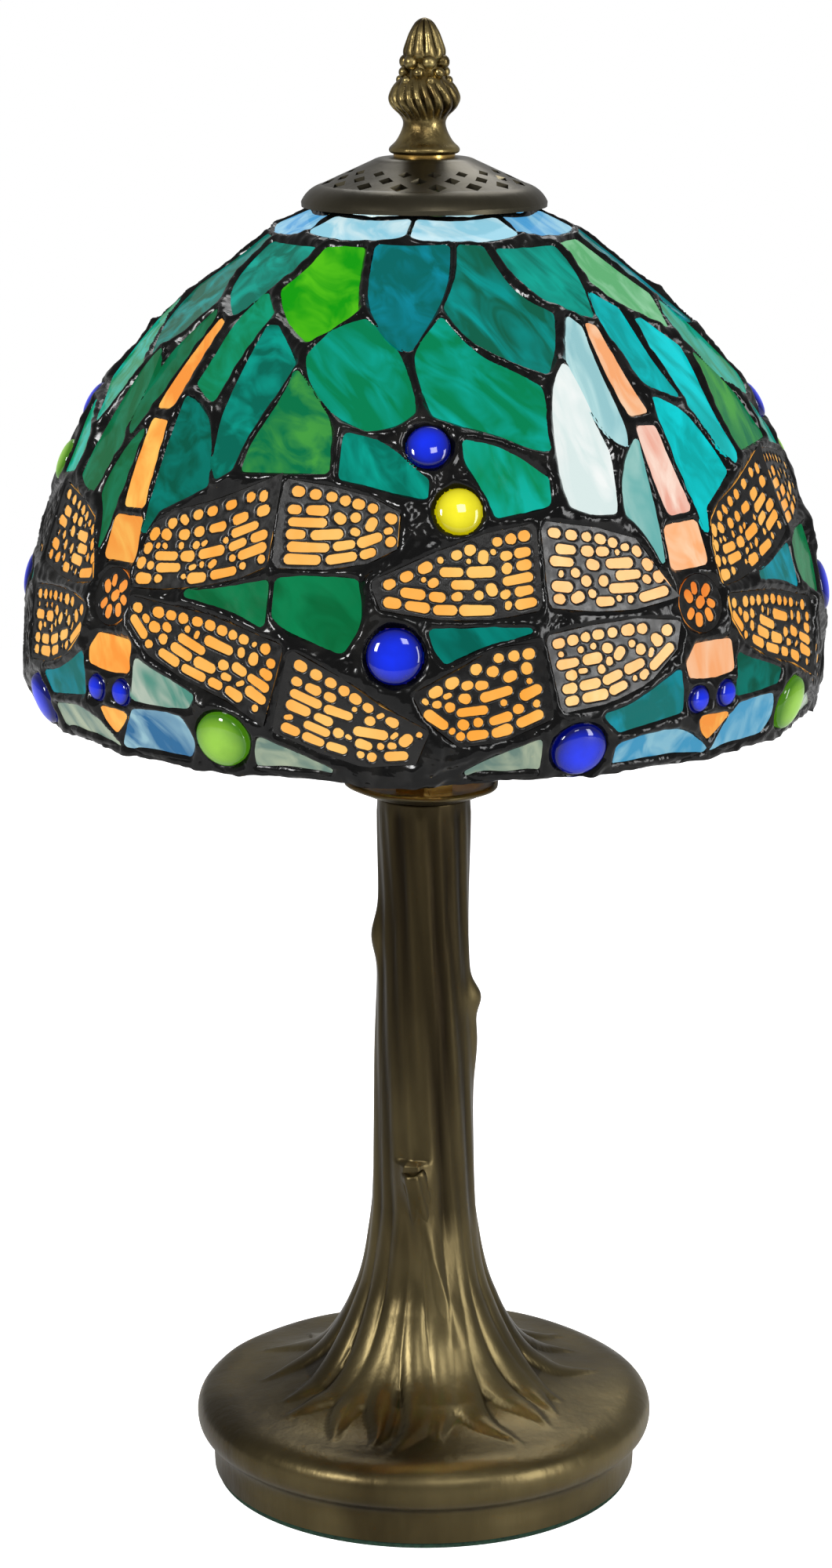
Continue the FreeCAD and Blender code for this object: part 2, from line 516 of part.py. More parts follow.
def glass(outline, low=-GLASS_T / 2, high=GLASS_T / 2, fit=FIT):
    facet = Facet(outline)
    edge = inset(outline, fit)
    return prism([facet.point(a, s, low) for a, s in edge], [facet.point(a, s, high) for a, s in edge])


def subdivided(outline):
    """The outline with points added so that no edge spans more than a few degrees."""
    points = []
    for p, q in zip(outline, outline[1:] + outline[:1]):
        parts = math.ceil(abs(q[0] - p[0]) / WIDEST_EDGE)
        for i in range(max(parts, 1)):
            t = i / max(parts, 1)
            points.append((p[0] + (q[0] - p[0]) * t, p[1] + (q[1] - p[1]) * t))
    return points


def turned_copies(outlines, periods=range(PERIODS)):
    fine = [subdivided(outline) for outline in outlines]
    return [[(a + SHADE_PERIOD * k, s) for a, s in outline] for k in periods for outline in fine]


def circle_outline(angle, s, r, corners=16):
    scale = math.radians(1) * radius_at(s)
    steps = [2 * math.pi * i / corners for i in range(corners)]
    return [(angle + r * math.cos(t) / scale, s + r * math.sin(t)) for t in steps]


def wing_outline(wing):
    low, high, rows = wing
    return low + high[::-1]


def along(edge, u):
    """The point a share u of the way along an edge's points."""
    x = min(max(u, 0.0), 0.9999) * (len(edge) - 1)
    i = int(x)
    return tuple(edge[i][k] + (edge[i + 1][k] - edge[i][k]) * (x - i) for k in (0, 1))


def pebbles(wing):
    """Centres, directions and half sizes of the holes in a wing's filigree, row by row: long ones
    at the lower edge, short ones at the upper edge."""
    low, high, rows = wing
    made = []
    for row in range(rows):
        v = (row + 0.5) / rows
        count = round(4 + 4 * v)
        for i in range(count):
            u = (i + 0.5 + 0.25 * (row % 2)) / (count + 0.25)

            def at(u, v):
                p, q = along(low, u), along(high, u)
                return (p[0] + (q[0] - p[0]) * v, p[1] + (q[1] - p[1]) * v)

            half_u, half_v = 0.40 / count, 0.38 / rows
            made.append((at(u, v), at(u + half_u, v), at(u, v + half_v)))
    return made


def filigree(wing, offset):
    """A thin pierced plate on the face of a wing's glass."""
    wing = tuple([(a + offset, s) for a, s in edge] for edge in wing[:2]) + (wing[2],)
    outline = subdivided(wing_outline(wing))
    facet = Facet(outline)
    low = GLASS_T / 2 - 0.45
    edge = [facet.point(a, s, low) for a, s in inset(outline, FIT)]
    wires = [Part.makePolygon(edge + edge[:1])]
    for centre, side, top in pebbles(wing):
        c, a, b = (facet.point(p[0], p[1], low) for p in (centre, side, top))
        major, minor = (a - c).Length, (b - c).Length
        if minor < 0.7 or major < 0.7:
            continue
        ellipse = Part.Ellipse(Vector(), max(major, minor + 0.02), minor)
        hole = Part.Wire(ellipse.toShape())
        x_axis = (a - c).normalize()
        y_axis = facet.normal.cross(x_axis)
        hole.Placement = FreeCAD.Placement(c, FreeCAD.Rotation(x_axis, y_axis, facet.normal, "ZXY"))
        wires.append(hole)
    face = Part.Face(wires[0])
    face = face.cut(Part.makeCompound([Part.Face(w) for w in wires[1:]]))
    return face.extrude(facet.normal * 0.45)


def jewel(angle, s, r, period):
    """A glass jewel with a tapered back, and a spherical dome that stands proud of the shade."""
    edge_r, edge_z, rise = r - FIT, 0.4, 0.42 * r
    dome_r = (edge_r ** 2 + rise ** 2) / (2 * rise)
    half = math.asin(edge_r / dome_r) / 2
    centre_z = edge_z + rise - dome_r
    middle = (dome_r * math.sin(half), centre_z + dome_r * math.cos(half))
    body = turned([(0, -2.2), (0.74 * edge_r, -2.2), (edge_r, -0.1), (edge_r, edge_z),
                   (middle, (0, edge_z + rise))])
    p, n = dome_at(angle + SHADE_PERIOD * period, s, MATRIX_T / 2 - 0.6)
    body.Placement = FreeCAD.Placement(p, FreeCAD.Rotation(Vector(0, 0, 1), n))
    return body


def all_openings():
    """Every hole in the matrix, as outlines."""
    found = (TOP_BAND + UPPER_LEAVES + LIME_LEAVES + MIDDLE_LEAVES + LOWER_LEAVES + FLANK_PANELS
             + WING_GAPS + SKIRT_TEAL + SKIRT_BLUE + TAIL + SHOULDER + NOSE)
    found = found + [wing_outline(w) for w in UPPER_WINGS + LOWER_WINGS]
    found = found + [circle_outline(*THORAX_CENTRE, THORAX_R)]
    circle_room = 1.06
    for angle, s, r in COBALT + LIME_JEWEL + [UPPER_JEWEL] + EYES:
        found.append(circle_outline(angle, s, r * circle_room))
    return turned_copies(found)


def solder_matrix():
    """The solder network as one solid. Its openings are laid out flat on a fan, cut into triangles
    there, and carried onto the outer and inner faces of the shade."""
    fan_r, rim_corners = 260.0, 120

    def on_fan(angle, s):
        a = math.radians(angle)
        return Vector((fan_r - s) * math.cos(a), (fan_r - s) * math.sin(a), 0)

    def loop(points):
        return Part.makePolygon([on_fan(a, s) for a, s in points + points[:1]])

    corners = [360 * i / rim_corners for i in range(rim_corners)]
    sheet = Part.Face(loop([(a, MATRIX_LOW) for a in corners]))
    openings = [loop([(a, MATRIX_HIGH) for a in corners])]
    openings += [loop(outline) for outline in all_openings()]
    sheet = sheet.cut(Part.makeCompound([Part.Face(opening) for opening in openings]))
    points, triangles = sheet.tessellate(1.0)
    outer, inner = [], []
    for p in points:
        angle, s = math.degrees(math.atan2(p.y, p.x)), fan_r - math.hypot(p.x, p.y)
        top, normal = dome_at(angle, s)
        outer.append(top)
        inner.append(top - normal * MATRIX_T)
    n = len(points)
    facets = []
    edges = {}
    for a, b, c in triangles:
        facets += [(a, b, c), (n + a, n + c, n + b)]
        for edge in ((a, b), (b, c), (c, a)):
            edges[edge] = edges.get(edge, 0) + 1
    for a, b in edges:
        if (b, a) not in edges:
            facets += [(a, n + a, b), (b, n + a, n + b)]
    shape = Part.Shape()
    shape.makeShapeFromMesh((outer + inner, facets), 0.001)
    solid = Part.Solid(Part.Shell(shape.Faces))
    if solid.Volume < 0:
        solid.reverse()
    return solid


def vented_cap():
    """Spun dome with three staggered rows of diamond vents."""
    outer = [(CAP_R, CAP_RIM_Z), (CAP_R + 0.1, CAP_RIM_Z + 1.1), ((28.2, 326.5), (24.8, 328.5)),
             (12.6, 334.1), ((10.8, 334.8), (8.8, CAP_TOP_Z))]
    inner = [(8.8, CAP_TOP_Z - CAP_T), (12.1, 333.1), (24.2, 327.4), ((27.2, 325.6), (28.2, CAP_RIM_Z + 0.9)),
             (28.2, CAP_RIM_Z)]
    cap = turned(outer + [(STUD_R + 0.6, CAP_TOP_Z), (STUD_R + 0.6, CAP_TOP_Z - CAP_T)] + inner)
    vents = []
    per_row = 16
    for row_r, half_w, half_h, shift in ((17.6, 1.7, 1.3, 0), (20.4, 2.0, 1.5, 0.5), (23.2, 2.3, 1.75, 0)):
        for i in range(per_row):
            corners = [Vector(0, -row_r - half_h, 300), Vector(half_w, -row_r, 300),
                       Vector(0, -row_r + half_h, 300), Vector(-half_w, -row_r, 300)]
            vent = Part.Face(Part.makePolygon(corners + corners[:1])).extrude(Vector(0, 0, 50))
            vent.rotate(Vector(0, 0, 0), Vector(0, 0, 1), FIRST_VENT + 360 / per_row * (i + shift))
            vents.append(vent)
    return cap.cut(vents)


def shade_pieces():
    panels = {
        "glass_top_band": TOP_BAND, "glass_upper_leaves": UPPER_LEAVES, "glass_lime_leaves": LIME_LEAVES,
        "glass_middle_leaves": MIDDLE_LEAVES, "glass_lower_leaves": LOWER_LEAVES,
        "glass_flank_panels": FLANK_PANELS, "glass_wing_gaps": WING_GAPS, "glass_skirt_teal": SKIRT_TEAL,
        "glass_skirt_blue": SKIRT_BLUE, "dragonfly_tail_glass": TAIL,
        "dragonfly_shoulder_glass": SHOULDER, "dragonfly_nose_glass": NOSE}
    for name, outlines in panels.items():
        save(name, [glass(outline) for outline in turned_copies(outlines)])
    under_plate = GLASS_T / 2 - 0.5
    thorax = turned_copies([circle_outline(*THORAX_CENTRE, THORAX_R)])
    save("dragonfly_thorax_glass", [glass(o, high=under_plate) for o in thorax])
    for name, wings in (("upper", UPPER_WINGS), ("lower", LOWER_WINGS)):
        outlines = turned_copies([wing_outline(w) for w in wings])
        save(f"wing_glass_{name}", [glass(o, high=under_plate, fit=WING_FIT) for o in outlines])
        plates = [filigree(w, SHADE_PERIOD * k) for k in range(PERIODS) for w in wings]
        save(f"wing_filigree_{name}", plates)
    save("cabochons_cobalt", [jewel(*j, k) for k in range(PERIODS) for j in COBALT])
    save("cabochons_lime", [jewel(*j, k) for k in range(PERIODS) for j in LIME_JEWEL])
    save("cabochons_yellow", [jewel(*UPPER_JEWEL, k) for k in (0, 2)])
    save("cabochons_green", [jewel(*UPPER_JEWEL, k) for k in (1, 3)])
    save("dragonfly_eyes", [jewel(*j, k) for k in range(PERIODS) for j in EYES])
    save("solder_matrix", solder_matrix())
    edge, normal = dome_at(0, MATRIX_LOW, MATRIX_T / 2)
    drop = RIM_WIRE_R + 2 * FIT
    rim_r, rim_z = normal.z * drop - edge.y, edge.z + normal.y * drop
    save("rim_wire", Part.makeTorus(rim_r, RIM_WIRE_R, Vector(0, 0, rim_z)))
    save("vented_cap", vented_cap())


# ------------------------------------------------------------------ finial
def finial_pieces():
    save("seat_washer", ring(STUD_R + 0.3, 7.6, SHOULDER_Z + FIT, CAP_TOP_Z - CAP_T - FIT))
    save("finial_washer", ring(STUD_R + 0.3, 7.4, CAP_TOP_Z + FIT, FINIAL_Z - FIT))
    z = FINIAL_Z
    body = turned([
        (0, z), (8.0, z), ((8.5, z + 0.7), (8.2, z + 1.5)),
        ("spline", [(6.6, z + 3.2), (5.4, z + 5.4), (5.1, z + 7.4), (6.6, z + 9.6), (8.2, z + 12.0),
                    (8.2, z + 13.8), (7.2, z + 16.2), (5.2, z + 18.9), (5.4, z + 21.6), (5.0, z + 24.2),
                    (4.0, z + 26.6), (2.6, z + 29.4), (0, FINIAL_TOP_Z)])])
    body = body.cut(disc(4.0 + FIT, z - 1, z + 10.6)).cut(disc(STUD_R + 0.2, z + 10, z + 12))
    save("finial", body)
    save("finial_insert", ring(STUD_R + FIT, 4.0, z + 0.1, z + 10.5))


base_pieces()
harp_pieces()
socket_pieces()
bulb_pieces()
shade_pieces()
finial_pieces()
print(len(os.listdir("parts")), "nodes")
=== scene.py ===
import math
import random

import bpy
import numpy as np
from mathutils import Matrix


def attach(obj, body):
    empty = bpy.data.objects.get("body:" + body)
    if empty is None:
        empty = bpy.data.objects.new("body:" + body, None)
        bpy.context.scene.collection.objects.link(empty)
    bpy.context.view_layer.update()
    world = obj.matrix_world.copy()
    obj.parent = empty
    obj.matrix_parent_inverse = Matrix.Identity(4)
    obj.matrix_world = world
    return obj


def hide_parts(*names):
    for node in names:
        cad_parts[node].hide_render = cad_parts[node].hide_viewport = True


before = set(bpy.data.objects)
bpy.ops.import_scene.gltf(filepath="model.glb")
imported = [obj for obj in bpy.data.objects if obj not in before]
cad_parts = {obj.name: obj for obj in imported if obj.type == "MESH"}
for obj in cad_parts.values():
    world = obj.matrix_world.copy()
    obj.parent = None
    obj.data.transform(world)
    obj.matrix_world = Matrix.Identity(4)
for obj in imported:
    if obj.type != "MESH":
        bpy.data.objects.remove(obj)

# Leaded glass dragonfly table lamp. Shapes are worked out in millimetres and degrees and turned to
# metres when a mesh is made. Angles run round the lamp from the front (-Y) towards +X. On the
# shade a place is (angle, s), with s the distance up the outer face from the rim.

MM = 0.001
PERIODS = 4
PERIOD = 90.0
START = -50.0                     # where the modelled quarter of the pattern starts
MID_DEPTH = 2.2                   # middle of the glass, below the outer face
GLASS_TOP = 1.0                   # glass surface above the middle
BEAD_RISE = 1.15                  # solder above the glass
GLASS_LAP = 1.15                  # how far the glass runs on under the solder
BEAD_HALF = 1.4                   # half width at which a solder bead is full height
BEAD_LAP = -0.6                   # how far solder laps over the outlines: negative, so it starts outside
OUTER_LIMIT = 98.85               # no solder stands further out than this radius
SOLDER_LOW, SOLDER_HIGH = 0.2, 150.4
RIM_R, RIM_Z = 92.6, 204.75       # middle of the bead over the rim wire
BAR = 0.36                        # least width of a bar between two pebbles of the filigree
PLATE_LAP = 0.8                   # how far the filigree runs on under the solder
ROW_PITCH = 2.85                  # between rows of pebbles
PLATE_STEP = 0.3                  # mesh size of the filigree
WING_ROOM = 20                    # height of the widest wing, for its mesh

CAMERA_PLACE = (-0.002, -0.9029, 0.3949)
CAMERA_PITCH = 0.233
CAMERA_LENS = 85.6
ROOM_LIGHT = 0.32                 # strength of the room round the lamp, beside the lights

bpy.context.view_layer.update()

DOME = [(94.2, 203.0), (96.9, 208.0), (98.7, 215.0), (98.8, 222.5), (97.6, 232.0), (94.7, 243.5),
        (90.7, 256.0), (85.6, 268.0), (78.9, 280.0), (69.6, 291.7), (59.0, 302.0), (46.7, 312.0),
        (35.3, 319.6), (26.4, 323.9)]

# ------------------------------------------------------------------ colours of the glass, sRGB
TEAL = ((0, 106, 88), (4, 164, 146))
GREEN_TEAL = ((0, 132, 84), (10, 176, 160))
DARK_TEAL = ((0, 82, 64), (0, 118, 106))
NIGHT_TEAL = ((10, 92, 70), (2, 152, 148))
BRIGHT_TEAL = ((0, 162, 160), (4, 204, 210))
SEA_GREEN = ((0, 122, 70), (4, 160, 122))
LEAF_GREEN = ((4, 108, 66), (64, 150, 62))
LIME = ((14, 158, 4), (84, 196, 18))
PALE_LIME = ((92, 178, 114), (142, 208, 160))
BLUE_TEAL = ((0, 108, 104), (6, 144, 164))
SKY = ((146, 206, 226), (214, 238, 242))
BLUE_SKY = ((84, 168, 224), (170, 222, 240))
WHITE = ((220, 236, 234), (250, 252, 250))
PALE_BLUE = ((150, 200, 206), (200, 236, 236))
PALE_TEAL = ((112, 186, 182), (184, 224, 216))
FLANK_GREEN = ((12, 96, 54), (20, 126, 90))
DEEP_GREEN = ((0, 98, 52), (4, 124, 74))
GAP_TEAL = ((0, 98, 84), (0, 136, 124))
STREAKY = ((44, 104, 150), (150, 190, 202))
BRIGHT_STREAKY = ((66, 154, 196), (150, 202, 218))
GREY_BLUE = ((108, 134, 124), (170, 182, 156))
TEXTURED = ((84, 148, 132), (208, 214, 198))
AMBER = ((252, 168, 62), (255, 198, 104))
ORANGE = ((246, 150, 60), (253, 196, 96))
PEACH = ((250, 172, 116), (253, 214, 178))
PINK = ((236, 172, 152), (253, 232, 216))

# Outlines of the glass: (outline, colours in even quarters[, colours in odd quarters]).
TOP_BAND = [
    ([(-4.5, 141), (8, 139.9), (24, 140), (37.5, 141), (36, 149), (16, 149), (-3, 149)],
     SKY, BLUE_SKY),
    ([(-50, 141.5), (-38, 140.8), (-20, 140.5), (-8.5, 141), (-7.5, 149), (-28, 149), (-48, 149)],
     SKY, BLUE_SKY),
]
UPPER_LEAVES = [
    ([(25, 135.5), (37, 136), (49.5, 135.5), (48.5, 128), (45, 119.5), (41.2, 111.8), (36, 115.5),
      (31, 119.5), (27, 126)], TEAL),
    ([(-16.5, 137.5), (-5, 137.8), (8, 137.5), (6.2, 127), (3.5, 119), (0.3, 112), (-3.2, 103.5),
      (-8, 108.5), (-13.2, 117), (-15.3, 127)], BLUE_TEAL),
    ([(12, 137), (19.8, 136.7), (21.5, 130), (22.9, 124), (26.5, 118), (30.7, 113.8), (29, 109),
      (26.4, 102.6), (23.4, 96.6), (19, 99.8), (13.5, 104), (8.8, 108.6), (5, 116.8), (7.6, 122.6),
      (10.2, 129)], NIGHT_TEAL),
]
LIME_LEAVES = [
    ([(-35.2, 135.8), (-28, 136.6), (-21.5, 136.3), (-19.8, 129), (-18, 121), (-16.4, 115.6),
      (-20.5, 110.9), (-25, 105.8), (-31, 110.8), (-36, 116.2), (-39.6, 121), (-36, 129.5)],
     LIME, PALE_LIME),
]
MIDDLE_LEAVES = [
    ([(-23.6, 101.4), (-21.5, 106.8), (-18.5, 110.4), (-13.6, 112.6), (-10, 109.4), (-6, 104.5),
      (-3.6, 97.6), (-2.1, 90), (-2, 86.8), (-5, 83.6), (-9.6, 82.5), (-14.5, 85.6), (-19, 91),
      (-22, 96)], GREEN_TEAL),
    ([(3.8, 112.6), (1.3, 109), (-1.5, 103.2), (-1.4, 99), (0.4, 91), (1.6, 86.6), (6, 84.5),
      (12, 82), (17.5, 77.2), (19.7, 76.8), (20, 83), (21.2, 89.5), (21.2, 92.8), (17.2, 97.5),
      (12, 101.2), (7.8, 106.4)], GREEN_TEAL),
    ([(-43.5, 118.8), (-38, 113.4), (-39, 106), (-40, 98), (-39.6, 87.2), (-42.5, 89), (-45.7, 91.6),
      (-46, 100), (-46.9, 111)], SEA_GREEN, BRIGHT_TEAL),
    ([(-36, 108.6), (-33.8, 108.8), (-30, 104.6), (-26.4, 99.6), (-27.5, 93.5), (-29.5, 87),
      (-31, 78), (-31.3, 70.8), (-33.2, 68.6), (-34.6, 71.6), (-35.6, 77), (-36.9, 84), (-37, 92),
      (-36.8, 101)], TEAL, BRIGHT_TEAL),
]
LOWER_LEAVES = [
    ([(-46.2, 87), (-44, 86.4), (-39.8, 82.8), (-38, 78.5), (-36.1, 72.5), (-35.2, 67), (-39.5, 63.4),
      (-43.4, 60), (-44.8, 54), (-45.5, 62), (-46.2, 75)], DARK_TEAL, BRIGHT_TEAL),
    ([(-24.6, 96.4), (-22, 93), (-18.5, 88), (-16, 83.4), (-15.6, 77), (-15.2, 72), (-20, 72),
      (-26, 71.6), (-29.2, 71.2), (-28.9, 78), (-27, 85), (-25.5, 91)], LEAF_GREEN),
    ([(-13, 81), (-9, 80.2), (-5, 77.4), (-2.6, 73.6), (0.2, 70.2), (0.1, 66.4), (-4, 67.8),
      (-9, 69.8), (-13, 70.8)], TEAL),
    ([(6.4, 79.4), (11, 78.2), (15, 75), (18.9, 69.8), (18.6, 64.2), (14, 63), (10.6, 62),
      (9.8, 66), (8, 71.4), (6.4, 75)], GREEN_TEAL),
]
FLANK_PANELS = [
    ([(27, 97.6), (28.5, 91), (29.5, 83), (30.8, 75.5), (30.2, 70), (29.7, 65), (29, 61.2),
      (25, 61.6), (22.2, 63.6), (21.6, 70), (22, 79), (23, 88), (24.6, 94)], WHITE, FLANK_GREEN),
    ([(34, 111.6), (36, 108.8), (35.3, 103), (35, 95), (35.1, 87), (34.9, 80.4), (33.8, 76.5),
      (32.2, 78), (31.2, 82), (29.9, 88), (28.5, 97.2), (31, 105)], PALE_BLUE, FLANK_GREEN),
    ([(36.4, 77.4), (34.4, 74.6), (32.6, 70), (31.5, 65), (31.4, 60.6), (33.4, 57.4), (35, 52),
      (35.6, 48.6), (36.1, 56), (36.3, 66)], PALE_TEAL, FLANK_GREEN),
]
WING_GAPS = [
    ([(-35, 41.4), (-30, 43), (-25, 45), (-22.4, 45.9), (-22.4, 36.2), (-25.5, 38.4), (-29, 40)],
     DEEP_GREEN, BLUE_TEAL),
    ([(-20.8, 46.5), (-16, 47.6), (-9.6, 47.2), (-8.9, 42), (-8.9, 37.5), (-11, 31.4), (-14.5, 33.4),
      (-19.2, 36.2), (-20.8, 38.6)], DEEP_GREEN),
    ([(0.8, 36.2), (8, 36.4), (14.4, 35.8), (9.5, 34.2), (5.2, 31.6), (2.8, 29.4), (1.5, 32)],
     GAP_TEAL),
]
SKIRT_TEAL = [
    ([(-42.5, 24.8), (-39.5, 22.6), (-35, 20.2), (-32.4, 18.4), (-33.2, 16), (-38, 15.4),
      (-42.9, 15.7)], TEXTURED, DARK_TEAL),
    ([(24.4, 15.4), (27.4, 16.2), (31, 18.8), (36, 23.6), (36.5, 18.4), (36.4, 14.2), (31, 12.6),
      (26.6, 11.6)], BLUE_TEAL),
]
SKIRT_BLUE = [
    ([(-43, 12.4), (-38, 13.1), (-34.4, 12.8), (-33.2, 9), (-33.2, 5.5), (-34.2, 3), (-40, 2.6),
      (-46.5, 2.4), (-45.3, 6)], STREAKY, BRIGHT_STREAKY),
    ([(-22.3, 10), (-19.6, 7.8), (-15.6, 4.8), (-12.6, 2.4), (-17, 2.3), (-23.2, 2.4), (-23.2, 6)],
     GREY_BLUE),
    ([(5.4, 2.4), (10, 2.3), (15.4, 2.4), (15.3, 10.4), (12.9, 8.6), (8.8, 5.6)], GREY_BLUE),
    ([(26.8, 7.6), (31, 8.8), (36, 9.3), (38.6, 7.4), (42.6, 2.4), (36, 2.3), (26.8, 2.4)],
     BRIGHT_STREAKY, GREY_BLUE),
]
TAIL = [
    ([(38.2, 109.3), (40, 108.4), (40.2, 100), (40.5, 90), (41.1, 84.6), (37.3, 84.2), (36.9, 92),
      (37.3, 103)], PEACH, ORANGE),
    ([(37.7, 80.4), (41.4, 80.1), (42, 71), (43.2, 60), (38.9, 59.6), (37.9, 70)], PINK, ORANGE),
    ([(37.5, 56.4), (43.7, 56.8), (44.1, 47.2), (37.3, 47)], PEACH, ORANGE),
]
SHOULDER = [
    ([(37.7, 25), (39.4, 28.8), (46, 28.6), (46.2, 21.9), (42, 21.2), (38, 22.1)], PEACH, ORANGE),
]
NOSE = [([(40.2, 11.4), (45.4, 11.2), (43.9, 8.2), (42.4, 6), (41, 8)], ORANGE)]
THORAX_CENTRE, THORAX_R = (41.2, 38.2), 6.0

# Wings: lower edge and upper edge, both from root to tip, with the number of rows of pebbles.
UPPER_WINGS = [
    ([(-44, 42), (-40, 42.5), (-33, 44.4), (-27, 47), (-22.8, 50)],
     [(-44.5, 46), (-43.2, 55.6), (-39.6, 59.6), (-33, 63), (-22.8, 69.4)], 7),
    ([(-21.2, 50), (-14, 50.3), (-8, 52), (-4.2, 55)],
     [(-21.2, 68.9), (-14, 67.8), (-8, 65.6), (-4, 62.2)], 7),
    ([(36.2, 41), (30, 39.6), (24, 40), (17.4, 41.4)],
     [(35.2, 44.6), (31.6, 54), (25.5, 57.4), (17.4, 59.4)], 7),
    ([(15.6, 41), (9, 39.4), (2, 39.6), (-5.6, 41.4)],
     [(15.6, 59), (8.5, 57.2), (1.5, 53.2), (-6.8, 46.7)], 7),
]
LOWER_WINGS = [
    ([(-43.6, 33.6), (-40.5, 27.6), (-34, 22.8), (-27, 19.2), (-21.6, 14.6)],
     [(-43.8, 38.4), (-38, 37.8), (-31, 36.8), (-25, 34.2), (-19.4, 31.4)], 6),
    ([(-20, 12.6), (-14, 8), (-8, 5), (-1.5, 6.6)],
     [(-17.6, 30.4), (-11, 24.6), (-5.8, 18.4), (0, 13.4)], 6),
    ([(35.4, 29), (31, 22.6), (25, 19), (18.4, 17.8)],
     [(36, 34.4), (30, 36), (23, 35.4), (16.6, 33.8)], 6),
    ([(16.6, 16.4), (10, 11.4), (4.5, 10.6), (0, 17)],
     [(15, 32.4), (9, 31.4), (5, 27.4), (-1, 22)], 6),
]
COBALT = [(0.5, 78.4, 4.8), (-4, 30.6, 6.2), (21, 7.4, 6.2)]
LIME_JEWEL = [(-28, 8.8, 6.4)]
UPPER_JEWEL = [(5.0, 63.2, 5.1)]
EYES = [(39.5, 16.2, 2.8), (44.8, 16.4, 2.8)]


# ------------------------------------------------------------------ meshes
def make_object(name, points, faces, smooth=True):
    """A mesh object from points in millimetres."""
    mesh = bpy.data.meshes.new(name)
    mesh.from_pydata((np.asarray(points) * MM).tolist(), [], faces)
    mesh.polygons.foreach_set("use_smooth", [smooth] * len(mesh.polygons))
    mesh.update()
    obj = bpy.data.objects.new(name, mesh)
    bpy.context.scene.collection.objects.link(obj)
    return obj


def finish_piece(obj, material, body, slot, *nodes):
    obj.data.materials.clear()
    obj.data.materials.append(material)
    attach(obj, body)
    if nodes:
        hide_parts(*nodes)


def polar(angle, r, z):
    a = np.radians(angle)
    return np.stack([r * np.sin(a), -r * np.cos(a), z + 0 * a], axis=-1)


def grid_faces(rows, columns, closed):
    """Quads of a grid whose rows may close on themselves."""
    index = np.arange(rows * columns).reshape(rows, columns)
    after = np.roll(index, -1, axis=1)
    if not closed:
        index, after = index[:, :-1], after[:, :-1]
    return np.stack([index[:-1], after[:-1], after[1:], index[1:]], axis=-1).reshape(-1, 4)


def kept(points, faces):
    """Only the points that the faces use."""
    used = np.unique(faces)
    number = np.zeros(len(points), dtype=int)
    number[used] = np.arange(len(used))
    return points[used], number[faces]


class Lumps:
    """Smooth random bumps in space: a sum of waves, about 1 high at most."""

    def __init__(self, seed, size, waves=22):
        source = np.random.default_rng(seed)
        ways = source.normal(size=(waves, 3))
        ways /= np.linalg.norm(ways, axis=1)[:, None]
        self.ways = ways * (2 * np.pi / (size * source.uniform(0.7, 1.6, waves)))[:, None]
        self.phases = source.uniform(0, 2 * np.pi, waves)
        self.share = 1.6 / waves ** 0.5

    def at(self, points):
        return self.share * np.sin(points @ self.ways.T + self.phases).sum(axis=-1) / 1.4


# ------------------------------------------------------------------ geometry of the shade
def spline(knots, values, at):
    """Natural cubic spline through the values, read at the given places."""
    h = np.diff(knots)
    count = len(knots)
    system = np.eye(count)
    right = np.zeros(count)
    for i in range(1, count - 1):
        system[i, i - 1:i + 2] = h[i - 1], 2 * (h[i - 1] + h[i]), h[i]
        right[i] = 6 * ((values[i + 1] - values[i]) / h[i] - (values[i] - values[i - 1]) / h[i - 1])
    bend = np.linalg.solve(system, right)
    i = np.clip(np.searchsorted(knots, at, side="right") - 1, 0, count - 2)
    a = (knots[i + 1] - at) / h[i]
    b = 1 - a
    cubic = ((a ** 3 - a) * bend[i] + (b ** 3 - b) * bend[i + 1]) * h[i] ** 2 / 6
    return a * values[i] + b * values[i + 1] + cubic


def fine_curve(points, count=1500):
    """Radius, height and length along a smooth curve through the points."""
    points = np.array(points, dtype=float)
    knots = np.concatenate([[0], np.cumsum(np.linalg.norm(np.diff(points, axis=0), axis=1))])
    at = np.linspace(0, knots[-1], count)
    r, z = spline(knots, points[:, 0], at), spline(knots, points[:, 1], at)
    length = np.concatenate([[0], np.cumsum(np.hypot(np.diff(r), np.diff(z)))])
    return r, z, length


DOME_R, DOME_Z, DOME_S = fine_curve(DOME)
DOME_NR = np.gradient(DOME_Z, DOME_S)
DOME_NZ = -np.gradient(DOME_R, DOME_S)


def radius_at(s):
    return np.interp(s, DOME_S, DOME_R)


def dome(angle, s, depth=0.0):
    """Points below the outer face, and the outward normals."""
    angle, s = np.broadcast_arrays(np.asarray(angle, dtype=float), np.asarray(s, dtype=float))
    normal = polar(angle, np.interp(s, DOME_S, DOME_NR), np.interp(s, DOME_S, DOME_NZ))
    normal[..., 2] = np.interp(s, DOME_S, DOME_NZ)
    place = polar(angle, radius_at(s), 0.0)
    place[..., 2] = np.interp(s, DOME_S, DOME_Z)
    return place - normal * np.asarray(depth)[..., None], normal


def circle(angle, s, r, count=24):
    turn = np.linspace(0, 2 * np.pi, count, endpoint=False)
    scale = math.radians(1) * radius_at(s)
    return np.stack([angle + r * np.cos(turn) / scale, s + r * np.sin(turn)], axis=1)


